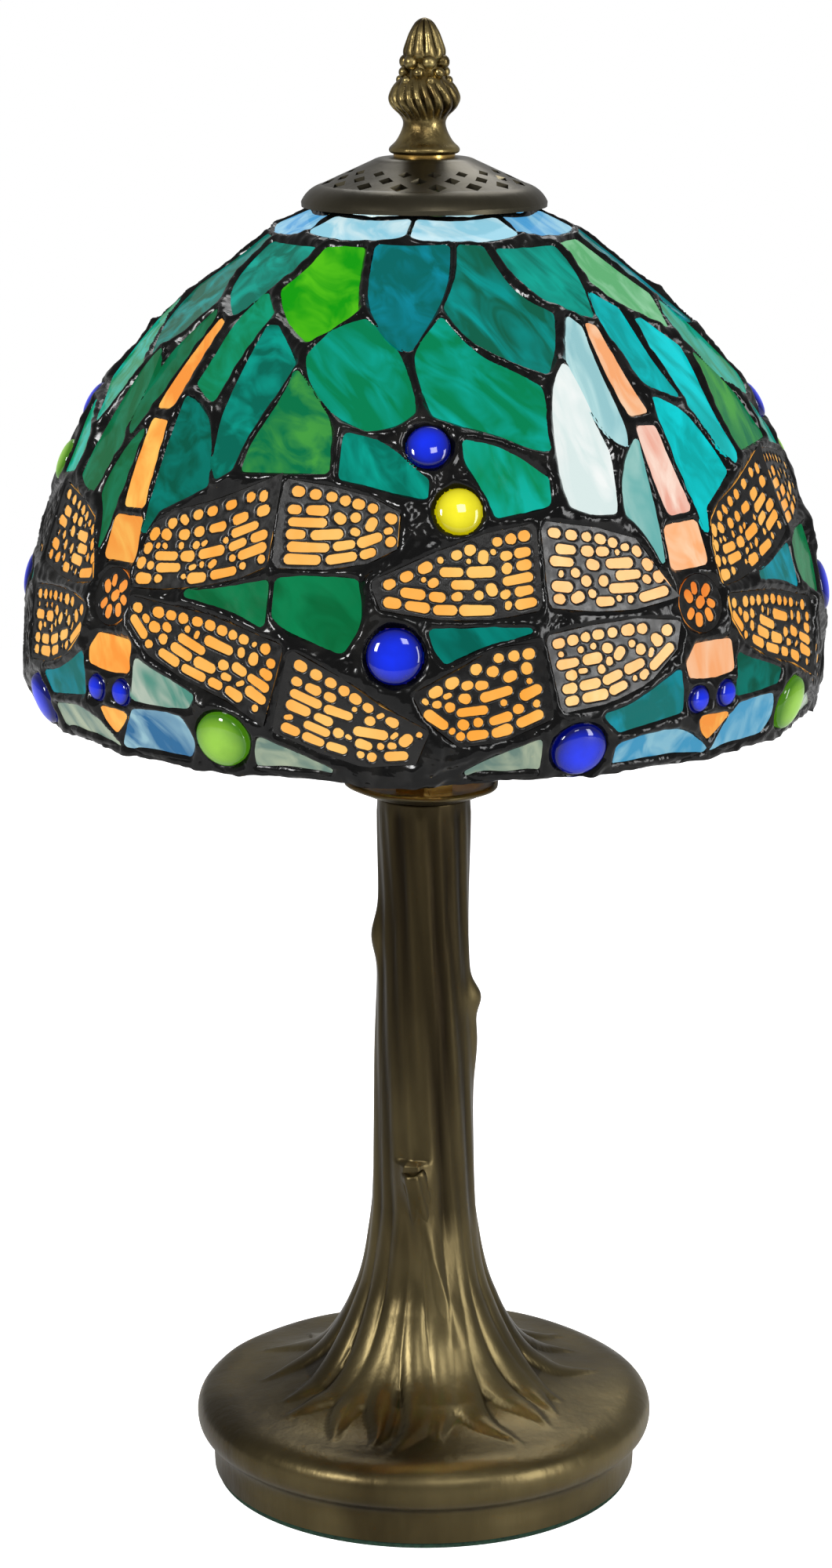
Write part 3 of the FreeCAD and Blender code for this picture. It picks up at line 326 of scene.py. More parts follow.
def softened(outline, passes=2):
    """The outline with its shallow corners rounded and its sharp ones kept."""
    points = np.array(outline, dtype=float)
    for step in range(passes):
        scale = np.array([math.radians(1) * radius_at(points[:, 1].mean()), 1.0])
        before, after = np.roll(points, 1, axis=0), np.roll(points, -1, axis=0)
        back, ahead = (points - before) * scale, (after - points) * scale
        cosine = (back * ahead).sum(1) / (np.linalg.norm(back, axis=1) * np.linalg.norm(ahead, axis=1))
        made = []
        for p, q, r, c in zip(before, points, after, cosine):
            share = 0.25 if c > 0.8 else 0.07
            made += [q + (p - q) * share, q + (r - q) * share]
        points = np.array(made)
    return points


class Plane:
    """The flat plane nearest an outline, through the middle of the glass."""

    def __init__(self, outline):
        points, normals = dome(outline[:, 0], outline[:, 1], MID_DEPTH)
        self.centre = points.mean(axis=0)
        total = np.cross(points - self.centre, np.roll(points, -1, axis=0) - self.centre).sum(axis=0)
        total /= np.linalg.norm(total)
        self.normal = total if total @ normals.sum(axis=0) > 0 else -total

    def offset(self, points, normals):
        """How far the plane is beyond the points, along the normals."""
        return ((self.centre - points) @ self.normal) / (normals @ self.normal)


def wing_outline(wing):
    return np.array(wing[0] + wing[1][::-1], dtype=float)


def all_openings():
    panels = (TOP_BAND + UPPER_LEAVES + LIME_LEAVES + MIDDLE_LEAVES + LOWER_LEAVES + FLANK_PANELS
              + WING_GAPS + SKIRT_TEAL + SKIRT_BLUE + TAIL + SHOULDER + NOSE)
    found = [softened(panel[0]) for panel in panels]
    found += [softened(wing_outline(wing)) for wing in UPPER_WINGS + LOWER_WINGS]
    found += [circle(*THORAX_CENTRE, THORAX_R)]
    found += [circle(*jewel) for jewel in COBALT + LIME_JEWEL + UPPER_JEWEL + EYES]
    return found


class Pattern:
    """The openings of the solder, with their planes, over a quarter and what borders it."""

    def __init__(self):
        self.outlines = []
        for turn in (-PERIOD, 0.0, PERIOD):
            self.outlines += [outline + [turn, 0] for outline in all_openings()]
        self.planes = [Plane(outline) for outline in self.outlines]

    def row(self, angles, s):
        """Signed distance to the nearest opening, negative inside one, and the height of the glass
        round about, along one row of the shade."""
        scale = math.radians(1) * radius_at(s)
        reach = 13.0
        near = [i for i, o in enumerate(self.outlines)
                if o[:, 1].min() - reach < s < o[:, 1].max() + reach
                and o[:, 0].max() > angles[0] - reach / scale and o[:, 0].min() < angles[-1] + reach / scale]
        points, normals = dome(angles, s, MID_DEPTH)
        gaps, heights = [], []
        for i in near:
            a = self.outlines[i] * [scale, 1]
            edge = np.roll(a, -1, axis=0) - a
            to = np.stack([angles * scale, np.full(len(angles), s)], axis=1)[:, None, :] - a
            along = np.clip((to * edge).sum(-1) / (edge ** 2).sum(-1), 0, 1)
            gap = np.linalg.norm(to - along[..., None] * edge, axis=-1).min(axis=1)
            above = (a[:, 1] > s) != (a[:, 1] + edge[:, 1] > s)
            slope = edge[:, 0] / np.where(edge[:, 1] == 0, 1e-9, edge[:, 1])
            left = to[..., 0] < to[..., 1] * slope
            inside = (above & left).sum(axis=1) % 2 == 1
            gaps.append(np.where(inside, -gap, gap))
            heights.append(np.clip(self.planes[i].offset(points, normals), -2.5, 2.5))
        gaps, heights = np.array(gaps), np.array(heights)
        weight = 1 / (np.maximum(gaps, 0) + 0.4) ** 4
        return gaps.min(axis=0), (weight * heights).sum(axis=0) / weight.sum(axis=0)


PATTERN = Pattern()


def bead(gap, half, rise):
    """Height of a rounded bead over the gap between openings; it dives under the glass inside one."""
    x = gap + BEAD_LAP
    share = np.clip(x / half, 0, 1)
    return np.where(x > 0, rise * np.sin(share * np.pi / 2), 1.2 * x)


def solder_sheet(side, columns, rows):
    """One face of the solder, all round: outside for side 1, inside for side -1."""
    angles = START + PERIOD * np.arange(columns) / columns
    steps = np.linspace(SOLDER_LOW, SOLDER_HIGH, rows)
    found = [PATTERN.row(angles, s) for s in steps]
    gap = np.tile(np.array([f[0] for f in found]), PERIODS)
    height = np.tile(np.array([f[1] for f in found]), PERIODS)
    all_angles = START + PERIOD * PERIODS * np.arange(columns * PERIODS) / (columns * PERIODS)
    points, normals = dome(all_angles[None, :], steps[:, None], MID_DEPTH)
    coarse, fine = Lumps(3, 9.0), Lumps(5, 3.0)
    rise = BEAD_RISE * (0.86 + 0.16 * coarse.at(points))
    pool = np.clip((gap - 1.2) / 2.5, 0, 1)
    lift = bead(gap, BEAD_HALF, rise) + (0.09 + 0.16 * pool) * fine.at(points) * (gap > -BEAD_LAP)
    lift = lift - 0.35 * pool
    points = points + normals * (height + side * (GLASS_TOP + lift))[..., None]
    radial = np.hypot(points[..., 0], points[..., 1])
    points[..., :2] *= np.minimum(1, OUTER_LIMIT / radial)[..., None]
    faces = grid_faces(rows, columns * PERIODS, True)
    if side < 0:
        faces = faces[:, ::-1]
    faces = faces[gap.reshape(-1)[faces].max(axis=1) > -BEAD_LAP]
    return kept(points.reshape(-1, 3), faces)


def rim_bead():
    """The lumpy bead of solder over the wire at the shade's rim."""
    around, section = 360, 14
    turn = np.arange(around) * 360 / around
    roll = 2 * np.pi * np.arange(section) / section
    lumps = Lumps(8, 7.0).at(polar(turn, RIM_R, 204.0))
    r = 1.95 + 0.22 * lumps[:, None]
    radius = RIM_R + r * np.cos(roll) * 1.05
    height = RIM_Z + r * np.sin(roll) * 0.85
    points = polar(np.broadcast_to(turn[:, None], radius.shape), radius, 0.0)
    points[..., 2] = height
    index = np.arange(around * section).reshape(around, section)
    faces = np.stack([index, np.roll(index, -1, 0), np.roll(np.roll(index, -1, 0), -1, 1),
                      np.roll(index, -1, 1)], axis=-1).reshape(-1, 4)
    return points.reshape(-1, 3), faces


def joined(parts):
    """Several (points, faces) as one."""
    points, faces, count = [], [], 0
    for p, f in parts:
        points.append(np.asarray(p).reshape(-1, 3))
        faces += [tuple(int(i) + count for i in face) for face in f]
        count += len(points[-1])
    return np.concatenate(points), faces


# ------------------------------------------------------------------ glass pieces
def slab(outline, plane, low, high, grow):
    """A flat piece of glass over an outline, a little larger than what shows of it."""
    scale = np.array([math.radians(1) * radius_at(outline[:, 1].mean()), 1.0])
    flat = outline * scale
    back, ahead = flat - np.roll(flat, 1, axis=0), np.roll(flat, -1, axis=0) - flat
    way = back / np.linalg.norm(back, axis=1)[:, None] + ahead / np.linalg.norm(ahead, axis=1)[:, None]
    out = np.stack([way[:, 1], -way[:, 0]], axis=1)
    out /= np.maximum(np.linalg.norm(out, axis=1), 0.5)[:, None]
    area = (flat[:, 0] * np.roll(flat[:, 1], -1) - np.roll(flat[:, 0], -1) * flat[:, 1]).sum()
    flat = flat + out * (grow if area > 0 else -grow)
    wide = flat / scale
    points, normals = dome(wide[:, 0], wide[:, 1], MID_DEPTH)
    middle = points + normals * plane.offset(points, normals)[:, None]
    count = len(outline)
    ring = list(range(count))
    faces = [ring, [count + i for i in reversed(ring)]]
    faces += [(i, count + i, count + (i + 1) % count, (i + 1) % count) for i in ring]
    return np.concatenate([middle + plane.normal * high, middle + plane.normal * low]), faces


def paint(obj, counts, values):
    """Colour attributes that are constant over each piece of a joined mesh."""
    for name, colours in values.items():
        layer = obj.data.attributes.new(name, "FLOAT_COLOR", "POINT")
        spread = np.repeat(np.array(colours, dtype=float), counts, axis=0)
        layer.data.foreach_set("color", np.hstack([spread, np.ones((len(spread), 1))]).reshape(-1))


def set_crest(obj, crest):
    layer = obj.data.attributes.new("crest", "FLOAT", "POINT")
    layer.data.foreach_set("value", np.asarray(crest, dtype=float))


def linear(colour):
    c = np.array(colour) / 255.0
    return np.where(c <= 0.04045, c / 12.92, ((c + 0.055) / 1.055) ** 2.4)


def tones(*stops):
    """Stops of a colour ramp from (place, sRGB colour) pairs."""
    return [(where, tuple(linear(colour))) for where, colour in stops]


def glass_group(name, panels, colour_of, periods=range(PERIODS), high=GLASS_TOP, seed=1):
    """One mesh for all the pieces of a kind, with each piece's two colours and its random shift."""
    source = random.Random(seed)
    parts, counts, deep, pale, shift = [], [], [], [], []
    for k in periods:
        for i, outline in enumerate(panels):
            turned = outline + [PERIOD * k, 0]
            parts.append(slab(turned, Plane(turned), -GLASS_TOP, high, GLASS_LAP))
            counts.append(len(parts[-1][0]))
            colours = colour_of(i, k)
            tone = source.uniform(0.88, 1.1)
            deep.append(linear(colours[0]) * tone)
            pale.append(linear(colours[1]) * tone)
            shift.append([source.random(), source.random(), source.random()])
    obj = make_object(name, *joined(parts), smooth=False)
    paint(obj, counts, {"deep": deep, "pale": pale, "shift": shift})
    return obj


# ------------------------------------------------------------------ filigree of the wings
def wing_place(wing, u, v):
    """(angle, s) a share u along and v across a wing."""
    edges = []
    for edge in wing[:2]:
        edge = np.array(edge, dtype=float)
        at = np.clip(u, -0.06, 1.06) * (len(edge) - 1)
        i = np.clip(np.floor(at).astype(int), 0, len(edge) - 2)
        edges.append(edge[i] + (edge[i + 1] - edge[i]) * (at - i)[..., None])
    return edges[0] + (edges[1] - edges[0]) * v[..., None]


def pebble_clear(pebble, others, room):
    """Whether a pebble leaves room round it for the bars."""
    shares = np.linspace(0, 1, 6)[:, None]
    mine = pebble[0] + (pebble[1] - pebble[0]) * shares
    for other in others:
        theirs = other[0] + (other[1] - other[0]) * shares
        apart = np.linalg.norm(mine[:, None] - theirs[None], axis=-1).min()
        if apart < pebble[2] + other[2] + room:
            return False
    return True


def wing_pebbles(wing, scale, source):
    """Pebbles of a wing as (start, end, radius, taper): long ones in rows along the lower edge,
    round ones along the upper edge and in what is left between."""
    def lower(u):
        return wing_place(wing, np.array(u), np.array(0.0)) * [scale, 1]

    def upper(u):
        return wing_place(wing, np.array(u), np.array(1.0)) * [scale, 1]

    length = np.linalg.norm(lower(1.0) - lower(0.0))
    found = []

    def offer(start, end, r):
        if pebble_clear((start, end, r), found, BAR):
            found.append((start, end, r, source.uniform(-0.16, 0.16)))

    def place(u, offset, top):
        low, high = lower(u), upper(u)
        tall = np.linalg.norm(high - low)
        share = 1 - offset / tall if top else offset / tall
        return low + (high - low) * share, tall

    rows = [(1.5, True, 0.1, 0.9)] + [(1.45 + ROW_PITCH * j, False, *((1.2, 6.0) if j < 4 else (0.2, 2.6)))
                                     for j in range(wing[2])]
    for offset, top, short, long in rows:
        at = source.uniform(1.5, 2.6)
        while at < length - 1.6:
            run, r = source.uniform(short, long), source.uniform(1.08, 1.32)
            run = min(run, length - 1.5 - at)
            start, tall = place(at / length, offset, top)
            end, end_tall = place((at + run) / length, offset, top)
            if min(tall, end_tall) - offset > 1.3:
                offer(start, end, r)
                at += run + 2 * r + BAR
            else:
                at += 0.5
    for attempt in range(1200):
        u, v, way = source.uniform(0.03, 0.97), source.uniform(0, 1), source.uniform(0, math.pi)
        r, run = 1.3 - 0.7 * attempt / 1200, source.uniform(0, 1.2)
        low, high = lower(u), upper(u)
        tall = np.linalg.norm(high - low)
        if min(v, 1 - v) * tall > r + 0.3 and min(u, 1 - u) * length > r + 0.25:
            spot = low + (high - low) * v
            reach = np.array([math.cos(way), math.sin(way)]) * run / 2
            offer(spot - reach, spot + reach, r)
    return found


def pebble_gap(places, pebbles):
    """Distance from the nearest pebble, negative inside one."""
    gaps = []
    for start, end, r, taper in pebbles:
        run = end - start
        share = np.clip(((places - start) @ run) / max(run @ run, 1e-6), 0, 1)
        away = np.linalg.norm(places - start - share[..., None] * run, axis=-1)
        gaps.append(away - r * (1 + taper * (share - 0.5)))
    return np.min(gaps, axis=0)


def pierced(place_of, pebbles, scale, rows, columns, plane):
    """A thin pierced plate laid on the glass, over a grid of (u, v)."""
    u, v = np.meshgrid(np.linspace(0, 1, columns), np.linspace(0, 1, rows))
    spots = place_of(u, v)
    gap = pebble_gap(spots * [scale, 1], pebbles)
    points, normals = dome(spots[..., 0], spots[..., 1], MID_DEPTH)
    lift = plane.offset(points, normals) + GLASS_TOP + 0.05
    share = np.clip(gap / 0.3, -1, 1)
    lift = lift + np.where(share > 0, 0.36 * np.sqrt(1 - (1 - np.maximum(share, 0)) ** 2), 0.5 * share)
    points = points + normals * lift[..., None]
    faces = grid_faces(rows, columns, False)
    faces = faces[gap.reshape(-1)[faces].max(axis=1) > -0.14]
    return kept(points.reshape(-1, 3), faces)


def wing_plate(wing, seed):
    outline = wing_outline(wing)
    scale = math.radians(1) * radius_at(outline[:, 1].mean())
    pebbles = wing_pebbles(wing, scale, random.Random(seed))
    length = np.linalg.norm((np.array(wing[0][-1]) - wing[0][0]) * [scale, 1])
    rows, columns = int(WING_ROOM / PLATE_STEP), int(length / PLATE_STEP)

    def place(u, v):
        u = u + (2 * u - 1) * PLATE_LAP / length
        low, high = wing_place(wing, u, v * 0) * [scale, 1], wing_place(wing, u, v * 0 + 1) * [scale, 1]
        way = (high - low) / np.linalg.norm(high - low, axis=-1)[..., None] * PLATE_LAP
        return (low - way + (high - low + 2 * way) * v[..., None]) / [scale, 1]

    return pierced(place, pebbles, scale, rows, columns, Plane(softened(outline)))


def thorax_plate():
    angle, s = THORAX_CENTRE
    scale = math.radians(1) * radius_at(s)
    middle = np.array([angle * scale, s])
    source = random.Random(4)
    pebbles = [(middle, middle + [0.7, 0.5], 1.25, 0.0)]
    for i in range(7):
        way = 2 * math.pi * (i + source.uniform(-0.12, 0.12)) / 7
        out = np.array([math.cos(way), math.sin(way)])
        across = np.array([-out[1], out[0]]) * source.uniform(-0.5, 0.5)
        pebbles.append((middle + out * 3.3, middle + out * source.uniform(3.9, 4.4) + across,
                        source.uniform(0.95, 1.3), 0.0))

    def place(u, v):
        reach = THORAX_R * 1.12 * v
        return np.stack([angle + reach * np.cos(2 * np.pi * u) / scale,
                         s + reach * np.sin(2 * np.pi * u)], axis=-1)

    return pierced(place, pebbles, scale, 30, 120, Plane(circle(angle, s, THORAX_R)))


def turned_parts(parts):
    """Copies of the parts in every quarter."""
    made = []
    for k in range(PERIODS):
        a = math.radians(PERIOD * k)
        turn = np.array([[math.cos(a), math.sin(a), 0], [-math.sin(a), math.cos(a), 0], [0, 0, 1]])
        made += [(points @ turn, faces) for points, faces in parts]
    return made


# ------------------------------------------------------------------ jewels
# A jewel's section: share of its radius, share of its rise.
JEWEL_RINGS = [(0.0, 1.0), (0.16, 0.99), (0.34, 0.945), (0.52, 0.86), (0.68, 0.74), (0.82, 0.58),
               (0.92, 0.4), (0.98, 0.2), (1.0, -0.1), (1.0, -0.4), (1.25, -0.5)]


JEWEL_SIDES = 32


def jewel_part(angle, s, r):
    """A domed jewel set in the solder."""
    place, normal = dome(angle, s, MID_DEPTH - GLASS_TOP)
    side = polar(angle + 90.0, 1.0, 0.0)
    up = np.cross(normal, side)
    rise = 0.36 * r
    turn = 2 * np.pi * np.arange(JEWEL_SIDES) / JEWEL_SIDES
    points = [place + normal * (0.25 + rise)]
    for share, height in JEWEL_RINGS[1:]:
        out = (np.cos(turn)[:, None] * side + np.sin(turn)[:, None] * up) * r * share * 1.02
        points += list(place + out + normal * (0.25 + rise * height))
    around = [(i, (i + 1) % JEWEL_SIDES) for i in range(JEWEL_SIDES)]
    faces = [(0, 1 + i, 1 + after) for i, after in around]
    for ring in range(len(JEWEL_RINGS) - 2):
        inner = 1 + JEWEL_SIDES * ring
        outer = inner + JEWEL_SIDES
        faces += [(inner + i, outer + i, outer + after, inner + after) for i, after in around]
    return np.array(points), faces


def jewels(name, places, periods):
    parts = [jewel_part(a + PERIOD * k, s, r) for k in periods for a, s, r in places]
    obj = make_object(name, *joined(parts))
    # Height share of each point, which the jewel material turns into painted shade at the edge and a painted
    # glow at the top.
    painted_glow_height = [1.0] + [height for share, height in JEWEL_RINGS[1:] for i in range(JEWEL_SIDES)]
    layer = obj.data.attributes.new("painted_glow_height", "FLOAT", "POINT")
    layer.data.foreach_set("value", painted_glow_height * len(parts))
    return obj


# ------------------------------------------------------------------ turned and cast metal
def lathe(profile, columns, shape=None, close_top=True, close_bottom=True):
    """A turned surface through the profile (radius, height) points, with shape(angle, z, r) to
    change the radius."""
    profile = np.array(profile, dtype=float)
    angles = 360 * np.arange(columns) / columns
    r = np.broadcast_to(profile[:, :1], (len(profile), columns)).copy()
    z = np.broadcast_to(profile[:, 1:], r.shape)
    turn = np.broadcast_to(angles, r.shape)
    if shape:
        r = shape(turn, z, r)
    points = polar(turn, r, 0.0)
    points[..., 2] = z
    faces = [tuple(f) for f in grid_faces(len(profile), columns, True)]
    last = (len(profile) - 1) * columns
    if close_bottom:
        faces.append(tuple(reversed(range(columns))))
    if close_top:
        faces.append(tuple(range(last, last + columns)))
    return points.reshape(-1, 3), faces


def ball(centre, r, rows=8, columns=14):
    lift = np.linspace(-np.pi / 2 + 0.12, np.pi / 2 - 0.12, rows)
    profile = np.stack([r * np.cos(lift), r * np.sin(lift)], axis=1)
    points, faces = lathe(profile, columns)
    return points + np.asarray(centre), faces


def finial_parts():
    """Flared foot, twisted bulb, ring of beads, and a petalled bud."""
    profile = [(7.6, 335.75), (8.3, 336.1), (8.5, 336.8), (8.15, 337.4), (7.2, 338.3), (6.1, 339.9),
               (5.35, 341.6),
               (5.1, 343.1), (5.6, 344.5), (6.9, 346.0), (7.9, 347.5), (8.15, 348.9), (7.7, 350.4),
               (7.0, 351.9), (5.9, 353.3), (4.5, 354.6), (3.9, 355.6), (3.9, 357.0), (4.7, 358.4),
               (4.8, 359.8), (4.4, 361.2), (3.9, 362.6), (3.4, 364.0), (2.7, 365.4), (2.0, 366.5),
               (1.0, 367.3), (0.25, 367.6)]
    r, z, length = fine_curve(profile, 200)

    def relief(turn, z):
        a = np.radians(turn)
        swirl = np.exp(-((z - 348.8) / 3.9) ** 4)
        petals = 1 / (1 + np.exp(-(z - 358.6) * 1.6))
        ridge = np.abs(np.sin(a * 9 + (z - 349) * 0.42 + 1.1 * np.sin(a * 2 + 0.6))) ** 0.55
        fold = np.abs(np.sin(a * 5 + (z - 360) * 0.05)) ** 0.5
        return swirl, ridge, petals, fold

    def shape(turn, z, r):
        swirl, ridge, petals, fold = relief(turn, z)
        return r + swirl * (1.25 * ridge - 0.75) + petals * (0.95 * fold - 0.6) * np.minimum(r / 4, 1)

    columns = 288
    turned = lathe(np.stack([r, z], axis=1), columns, shape)
    swirl, ridge, petals, fold = relief(360 * np.arange(columns)[None, :] / columns, z[:, None])
    crest = 0.8 - swirl * (0.8 - ridge ** 1.6) - petals * (0.8 - fold ** 1.6)
    parts = [turned]
    for i in range(6):
        parts.append(ball(polar(60 * i + 14, 4.5, 357.3), 1.75))
        parts.append(ball(polar(60 * i + 44, 5.0, 354.9), 1.35))
        parts.append(ball(polar(60 * i + 14, 5.9, 353.0), 1.15))
    count = sum(len(points) for points, faces in parts[1:])
    return parts, np.concatenate([crest.reshape(-1), np.full(count, 0.9)])


ROOTS = [(-172, 44), (-152, 47), (-132, 43), (-112, 46), (-88, 41), (-65, 40), (-48, 44), (-31, 47),
         (-20, 46), (-6, 50), (9, 43), (26, 49), (41, 45), (54, 42), (66, 39), (91, 45), (112, 43),
         (133, 47), (156, 44)]
TRUNK = [(11.6, 177.9), (11.5, 169), (11.3, 160), (11.2, 150), (11.4, 139), (11.7, 128), (12.2, 112),
         (12.4, 95), (12.6, 84), (12.8, 74), (13.2, 65), (14.0, 56.5), (15.4, 49.5), (17.6, 43.5),
         (21.0, 37.0), (26.0, 30.6), (32.5, 26.2), (40.0, 23.8), (48.0, 22.7), (54.2, 21.6),
         (57.6, 19.0), (58.4, 15.6), (57.2, 12.0), (54.9, 10.0), (54.3, 8.6), (54.2, 5.0), (54.1, 1.5)]


def trunk_part():
    """The casting: bark and roots raised on a turned form, worked along its own normals."""
    r, z, length = fine_curve(TRUNK, 330)
    nr, nz = -np.gradient(z, length), np.gradient(r, length)
    columns = 280
    turn = np.radians(-180 + 360 * np.arange(columns) / columns)[None, :]
    rr, zz = r[:, None], z[:, None]
    lift = np.zeros((len(r), columns))

    def around(a):
        return (a + np.pi) % (2 * np.pi) - np.pi

    for i, (angle, reach) in enumerate(ROOTS):
        sway = 0.07 * np.sin(rr * 0.16 + i * 1.7)
        centre = math.radians(angle) + sway
        share = np.clip((rr - 12.6) / (reach + 2 - 12.6), 0, 1)
        half = (1.9 + 2.5 * np.sin(np.pi * np.clip(share * 0.9 + 0.12, 0, 1))) * (1 - share ** 4) + 0.05
        away = np.abs(around(turn - centre)) * rr
        ridge = np.sqrt(np.clip(1 - (away / half) ** 2, 0, 1))
        tall = (0.35 + 1.9 * np.clip((72 - zz) / 26, 0, 1)) * (1 - share ** 2.0) * (zz > 19)
        lift = np.maximum(lift, ridge * tall * np.clip((104 - zz) / 40, 0, 1))
    above = np.clip((zz - 52) / 20, 0, 1)
    twist = turn + (zz - 60) * 0.0045
    folds = (0.5 * np.abs(np.sin(twist * 2.5 + 0.6 + np.sin(zz * 0.02)))
             + 0.38 * np.abs(np.sin(twist * 4.5 + 1.2 * np.sin(zz * 0.013 + 1)))
             + 0.16 * np.sin(twist * 17 + zz * 0.04))
    lift = lift + above * (folds - 0.62) * np.clip((178 - zz) / 4, 0.25, 1)
    for angle, height, size, wide, tall in ((-88, 142, 1.9, 4.2, 6.0), (84, 126.5, 2.3, 4.0, 4.0),
                                            (84, 116, 1.3, 3.0, 10.0), (-20, 96, 0.5, 4, 12),
                                            (-10, 81, 1.5, 4.5, 6)):
        away = around(turn - math.radians(angle)) * 12.0
        lift = lift + size * np.exp(-(away / wide) ** 2 - ((zz - height) / tall) ** 2)
    for start, end, height, foot, size in ((-12, 24, 84, 38, 2.0), (-16, -30, 84, 50, 0.8)):
        share = np.clip((height - zz) / (height - foot), 0, 1)
        centre = np.radians(start + (end - start) * share)
        away = around(turn - centre) * rr
        along = (zz < height + 2) & (zz > foot - 2)
        lift = lift + along * size * np.exp(-(away / 2.6) ** 2) * np.clip((zz - foot) / 12, 0, 1)
    swell = Lumps(17, 34.0).at(polar(np.degrees(turn) + 0 * rr, rr, zz))
    lift = lift + 0.4 * swell * np.clip((27 - zz) / 2, 0, 1) * np.clip((zz - 20) / 2, 0, 1)
    limit = np.where(zz < 20, 0.0, 3.2)
    lift = np.minimum(lift, limit)
    points = polar(np.degrees(np.broadcast_to(turn, lift.shape)), rr + lift * nr[:, None], 0.0)
    points[..., 2] = zz + lift * nz[:, None]
    faces = [tuple(f[::-1]) for f in grid_faces(len(r), columns, True)]
    faces.append(tuple(range(columns)))
    crest = np.clip(0.45 + 0.5 * (lift - 0.15) / np.where(zz > 60, 0.9, 1.6), 0, 1)
    crest = np.where(zz < 27, np.maximum(crest, 0.75), crest)
    return points.reshape(-1, 3), faces, crest.reshape(-1)


def branch_part():
    """The stub of a cut branch at the front, with a sunk end."""
    foot, tip = np.array([0.6, -9.6, 66.0]), np.array([-2.9, -14.6, 84.2])
    along = (tip - foot) / np.linalg.norm(tip - foot)
    side = np.cross(along, [0, 0, 1.0])
    side /= np.linalg.norm(side)
    up = np.cross(side, along)
    columns = 28
    turn = 2 * np.pi * np.arange(columns) / columns
    rings = ((0, 4.6), (0.4, 3.9), (0.75, 3.3), (0.94, 3.2), (1.0, 2.8), (1.01, 2.2), (0.97, 1.4),
             (0.96, 0.1))
    points = []
    for share, r in rings:
        wave = 1 + 0.08 * np.sin(turn * 3 + 1) + 0.05 * np.sin(turn * 7)
        out = np.cos(turn)[:, None] * side + np.sin(turn)[:, None] * up
        points += list(foot + (tip - foot) * share + out * (r * wave)[:, None])
    faces = [tuple(f) for f in grid_faces(len(rings), columns, True)]
    return np.array(points), faces


def collar_part():
    """The wavy dish on top of the trunk."""
    profile = [(5.2, 178.1), (11.8, 178.15), (14.5, 178.7), (17.2, 180.0), (18.8, 180.5), (19.2, 181.0),
               (18.8, 181.6), (17.6, 181.7), (14.5, 180.3), (11.4, 179.7), (5.2, 179.6)]
    r, z, length = fine_curve(profile, 60)

    def shape(turn, z, r):
        edge = np.clip((r - 12) / 7, 0, 1)
        a = np.radians(turn)
        return r + edge * (0.5 * np.sin(a * 3 + 0.5) + 0.25 * np.sin(a * 7))

    return lathe(np.stack([r, z], axis=1), 120, shape, close_top=False, close_bottom=False)


# ------------------------------------------------------------------ materials
class Shader:
    """A node material. add() makes a node; its inputs take values or other nodes' sockets."""

    def __init__(self, name):
        self.material = bpy.data.materials.new(name)
        self.material.use_nodes = True
        self.tree = self.material.node_tree
        self.surface = self.tree.nodes["Principled BSDF"]

    def add(self, kind, inputs=None, **settings):
        node = self.tree.nodes.new(kind)
        for key, value in settings.items():
            setattr(node, key, value)
        self.fill(node, inputs or {})
        return node

    def fill(self, node, inputs):
        for key, value in inputs.items():
            if isinstance(value, bpy.types.NodeSocket):
                self.tree.links.new(value, node.inputs[key])
            else:
                node.inputs[key].default_value = value

    def place(self):
        return self.add("ShaderNodeTexCoord").outputs["Object"]

    def noise(self, scale, detail=3.0, at=None, **inputs):
        wanted = {"Vector": at or self.place(), "Scale": scale, "Detail": detail, **inputs}
        return self.add("ShaderNodeTexNoise", wanted).outputs["Fac"]

    def ramp(self, value, stops):
        """Colours or grey levels along a value."""
        node = self.add("ShaderNodeValToRGB", {"Fac": value})
        elements = node.color_ramp.elements
        while len(elements) < len(stops):
            elements.new(0.5)
        for element, (where, colour) in zip(elements, stops):
            element.position = where
            element.color = (*colour, 1) if isinstance(colour, tuple) else (colour, colour, colour, 1)
        return node.outputs["Color"]

    def mix(self, fac, a, b, blend="MIX"):
        node = self.add("ShaderNodeMix", data_type="RGBA", blend_type=blend)
        for socket, value in ((node.inputs[0], fac), (node.inputs[6], a), (node.inputs[7], b)):
            if isinstance(value, bpy.types.NodeSocket):
                self.tree.links.new(value, socket)
            else:
                socket.default_value = value
        return node.outputs[2]

    def bump(self, height, strength, distance=0.0006):
        made = self.add("ShaderNodeBump", {"Height": height, "Strength": strength, "Distance": distance})
        self.fill(self.surface, {"Normal": made.outputs["Normal"]})


def metal(name, dark, light, rough, metallic=1.0, scale=60.0, bump=0.15, bump_scale=400.0, stretch=None,
          hollows=None):
    """Metal with patches of patina and a fine uneven surface. With a colour for hollows, the mesh
    says in its attribute crest how far each point stands out of them."""
    shader = Shader(name)
    at = shader.place()
    if stretch:
        at = shader.add("ShaderNodeMapping", {"Vector": at, "Scale": stretch}).outputs["Vector"]
    patches = shader.noise(scale, 5.0, at)
    fine = shader.noise(bump_scale, 3.0, at)
    colour = shader.ramp(patches, tones((0.35, dark), (0.68, light)))
    if hollows:
        crest = shader.add("ShaderNodeAttribute", attribute_name="crest").outputs["Fac"]
        colour = shader.mix(shader.ramp(crest, [(0.1, 0.0), (0.75, 1.0)]), (*linear(hollows), 1), colour)
    shader.fill(shader.surface, {
        "Base Color": colour,
        "Roughness": shader.ramp(shader.noise(scale * 2.3, 3.0, at), [(0.3, rough[0]), (0.7, rough[1])]),
        "Metallic": metallic})
    shader.bump(fine, bump)
    return shader.material


def plastic(name, dark, light, rough, scale=220.0):
    shader = Shader(name)
    shader.fill(shader.surface, {
        "Base Color": shader.ramp(shader.noise(scale), tones((0.3, dark), (0.7, light))),
        "Roughness": rough})
    shader.bump(shader.noise(scale * 4), 0.08)
    return shader.material


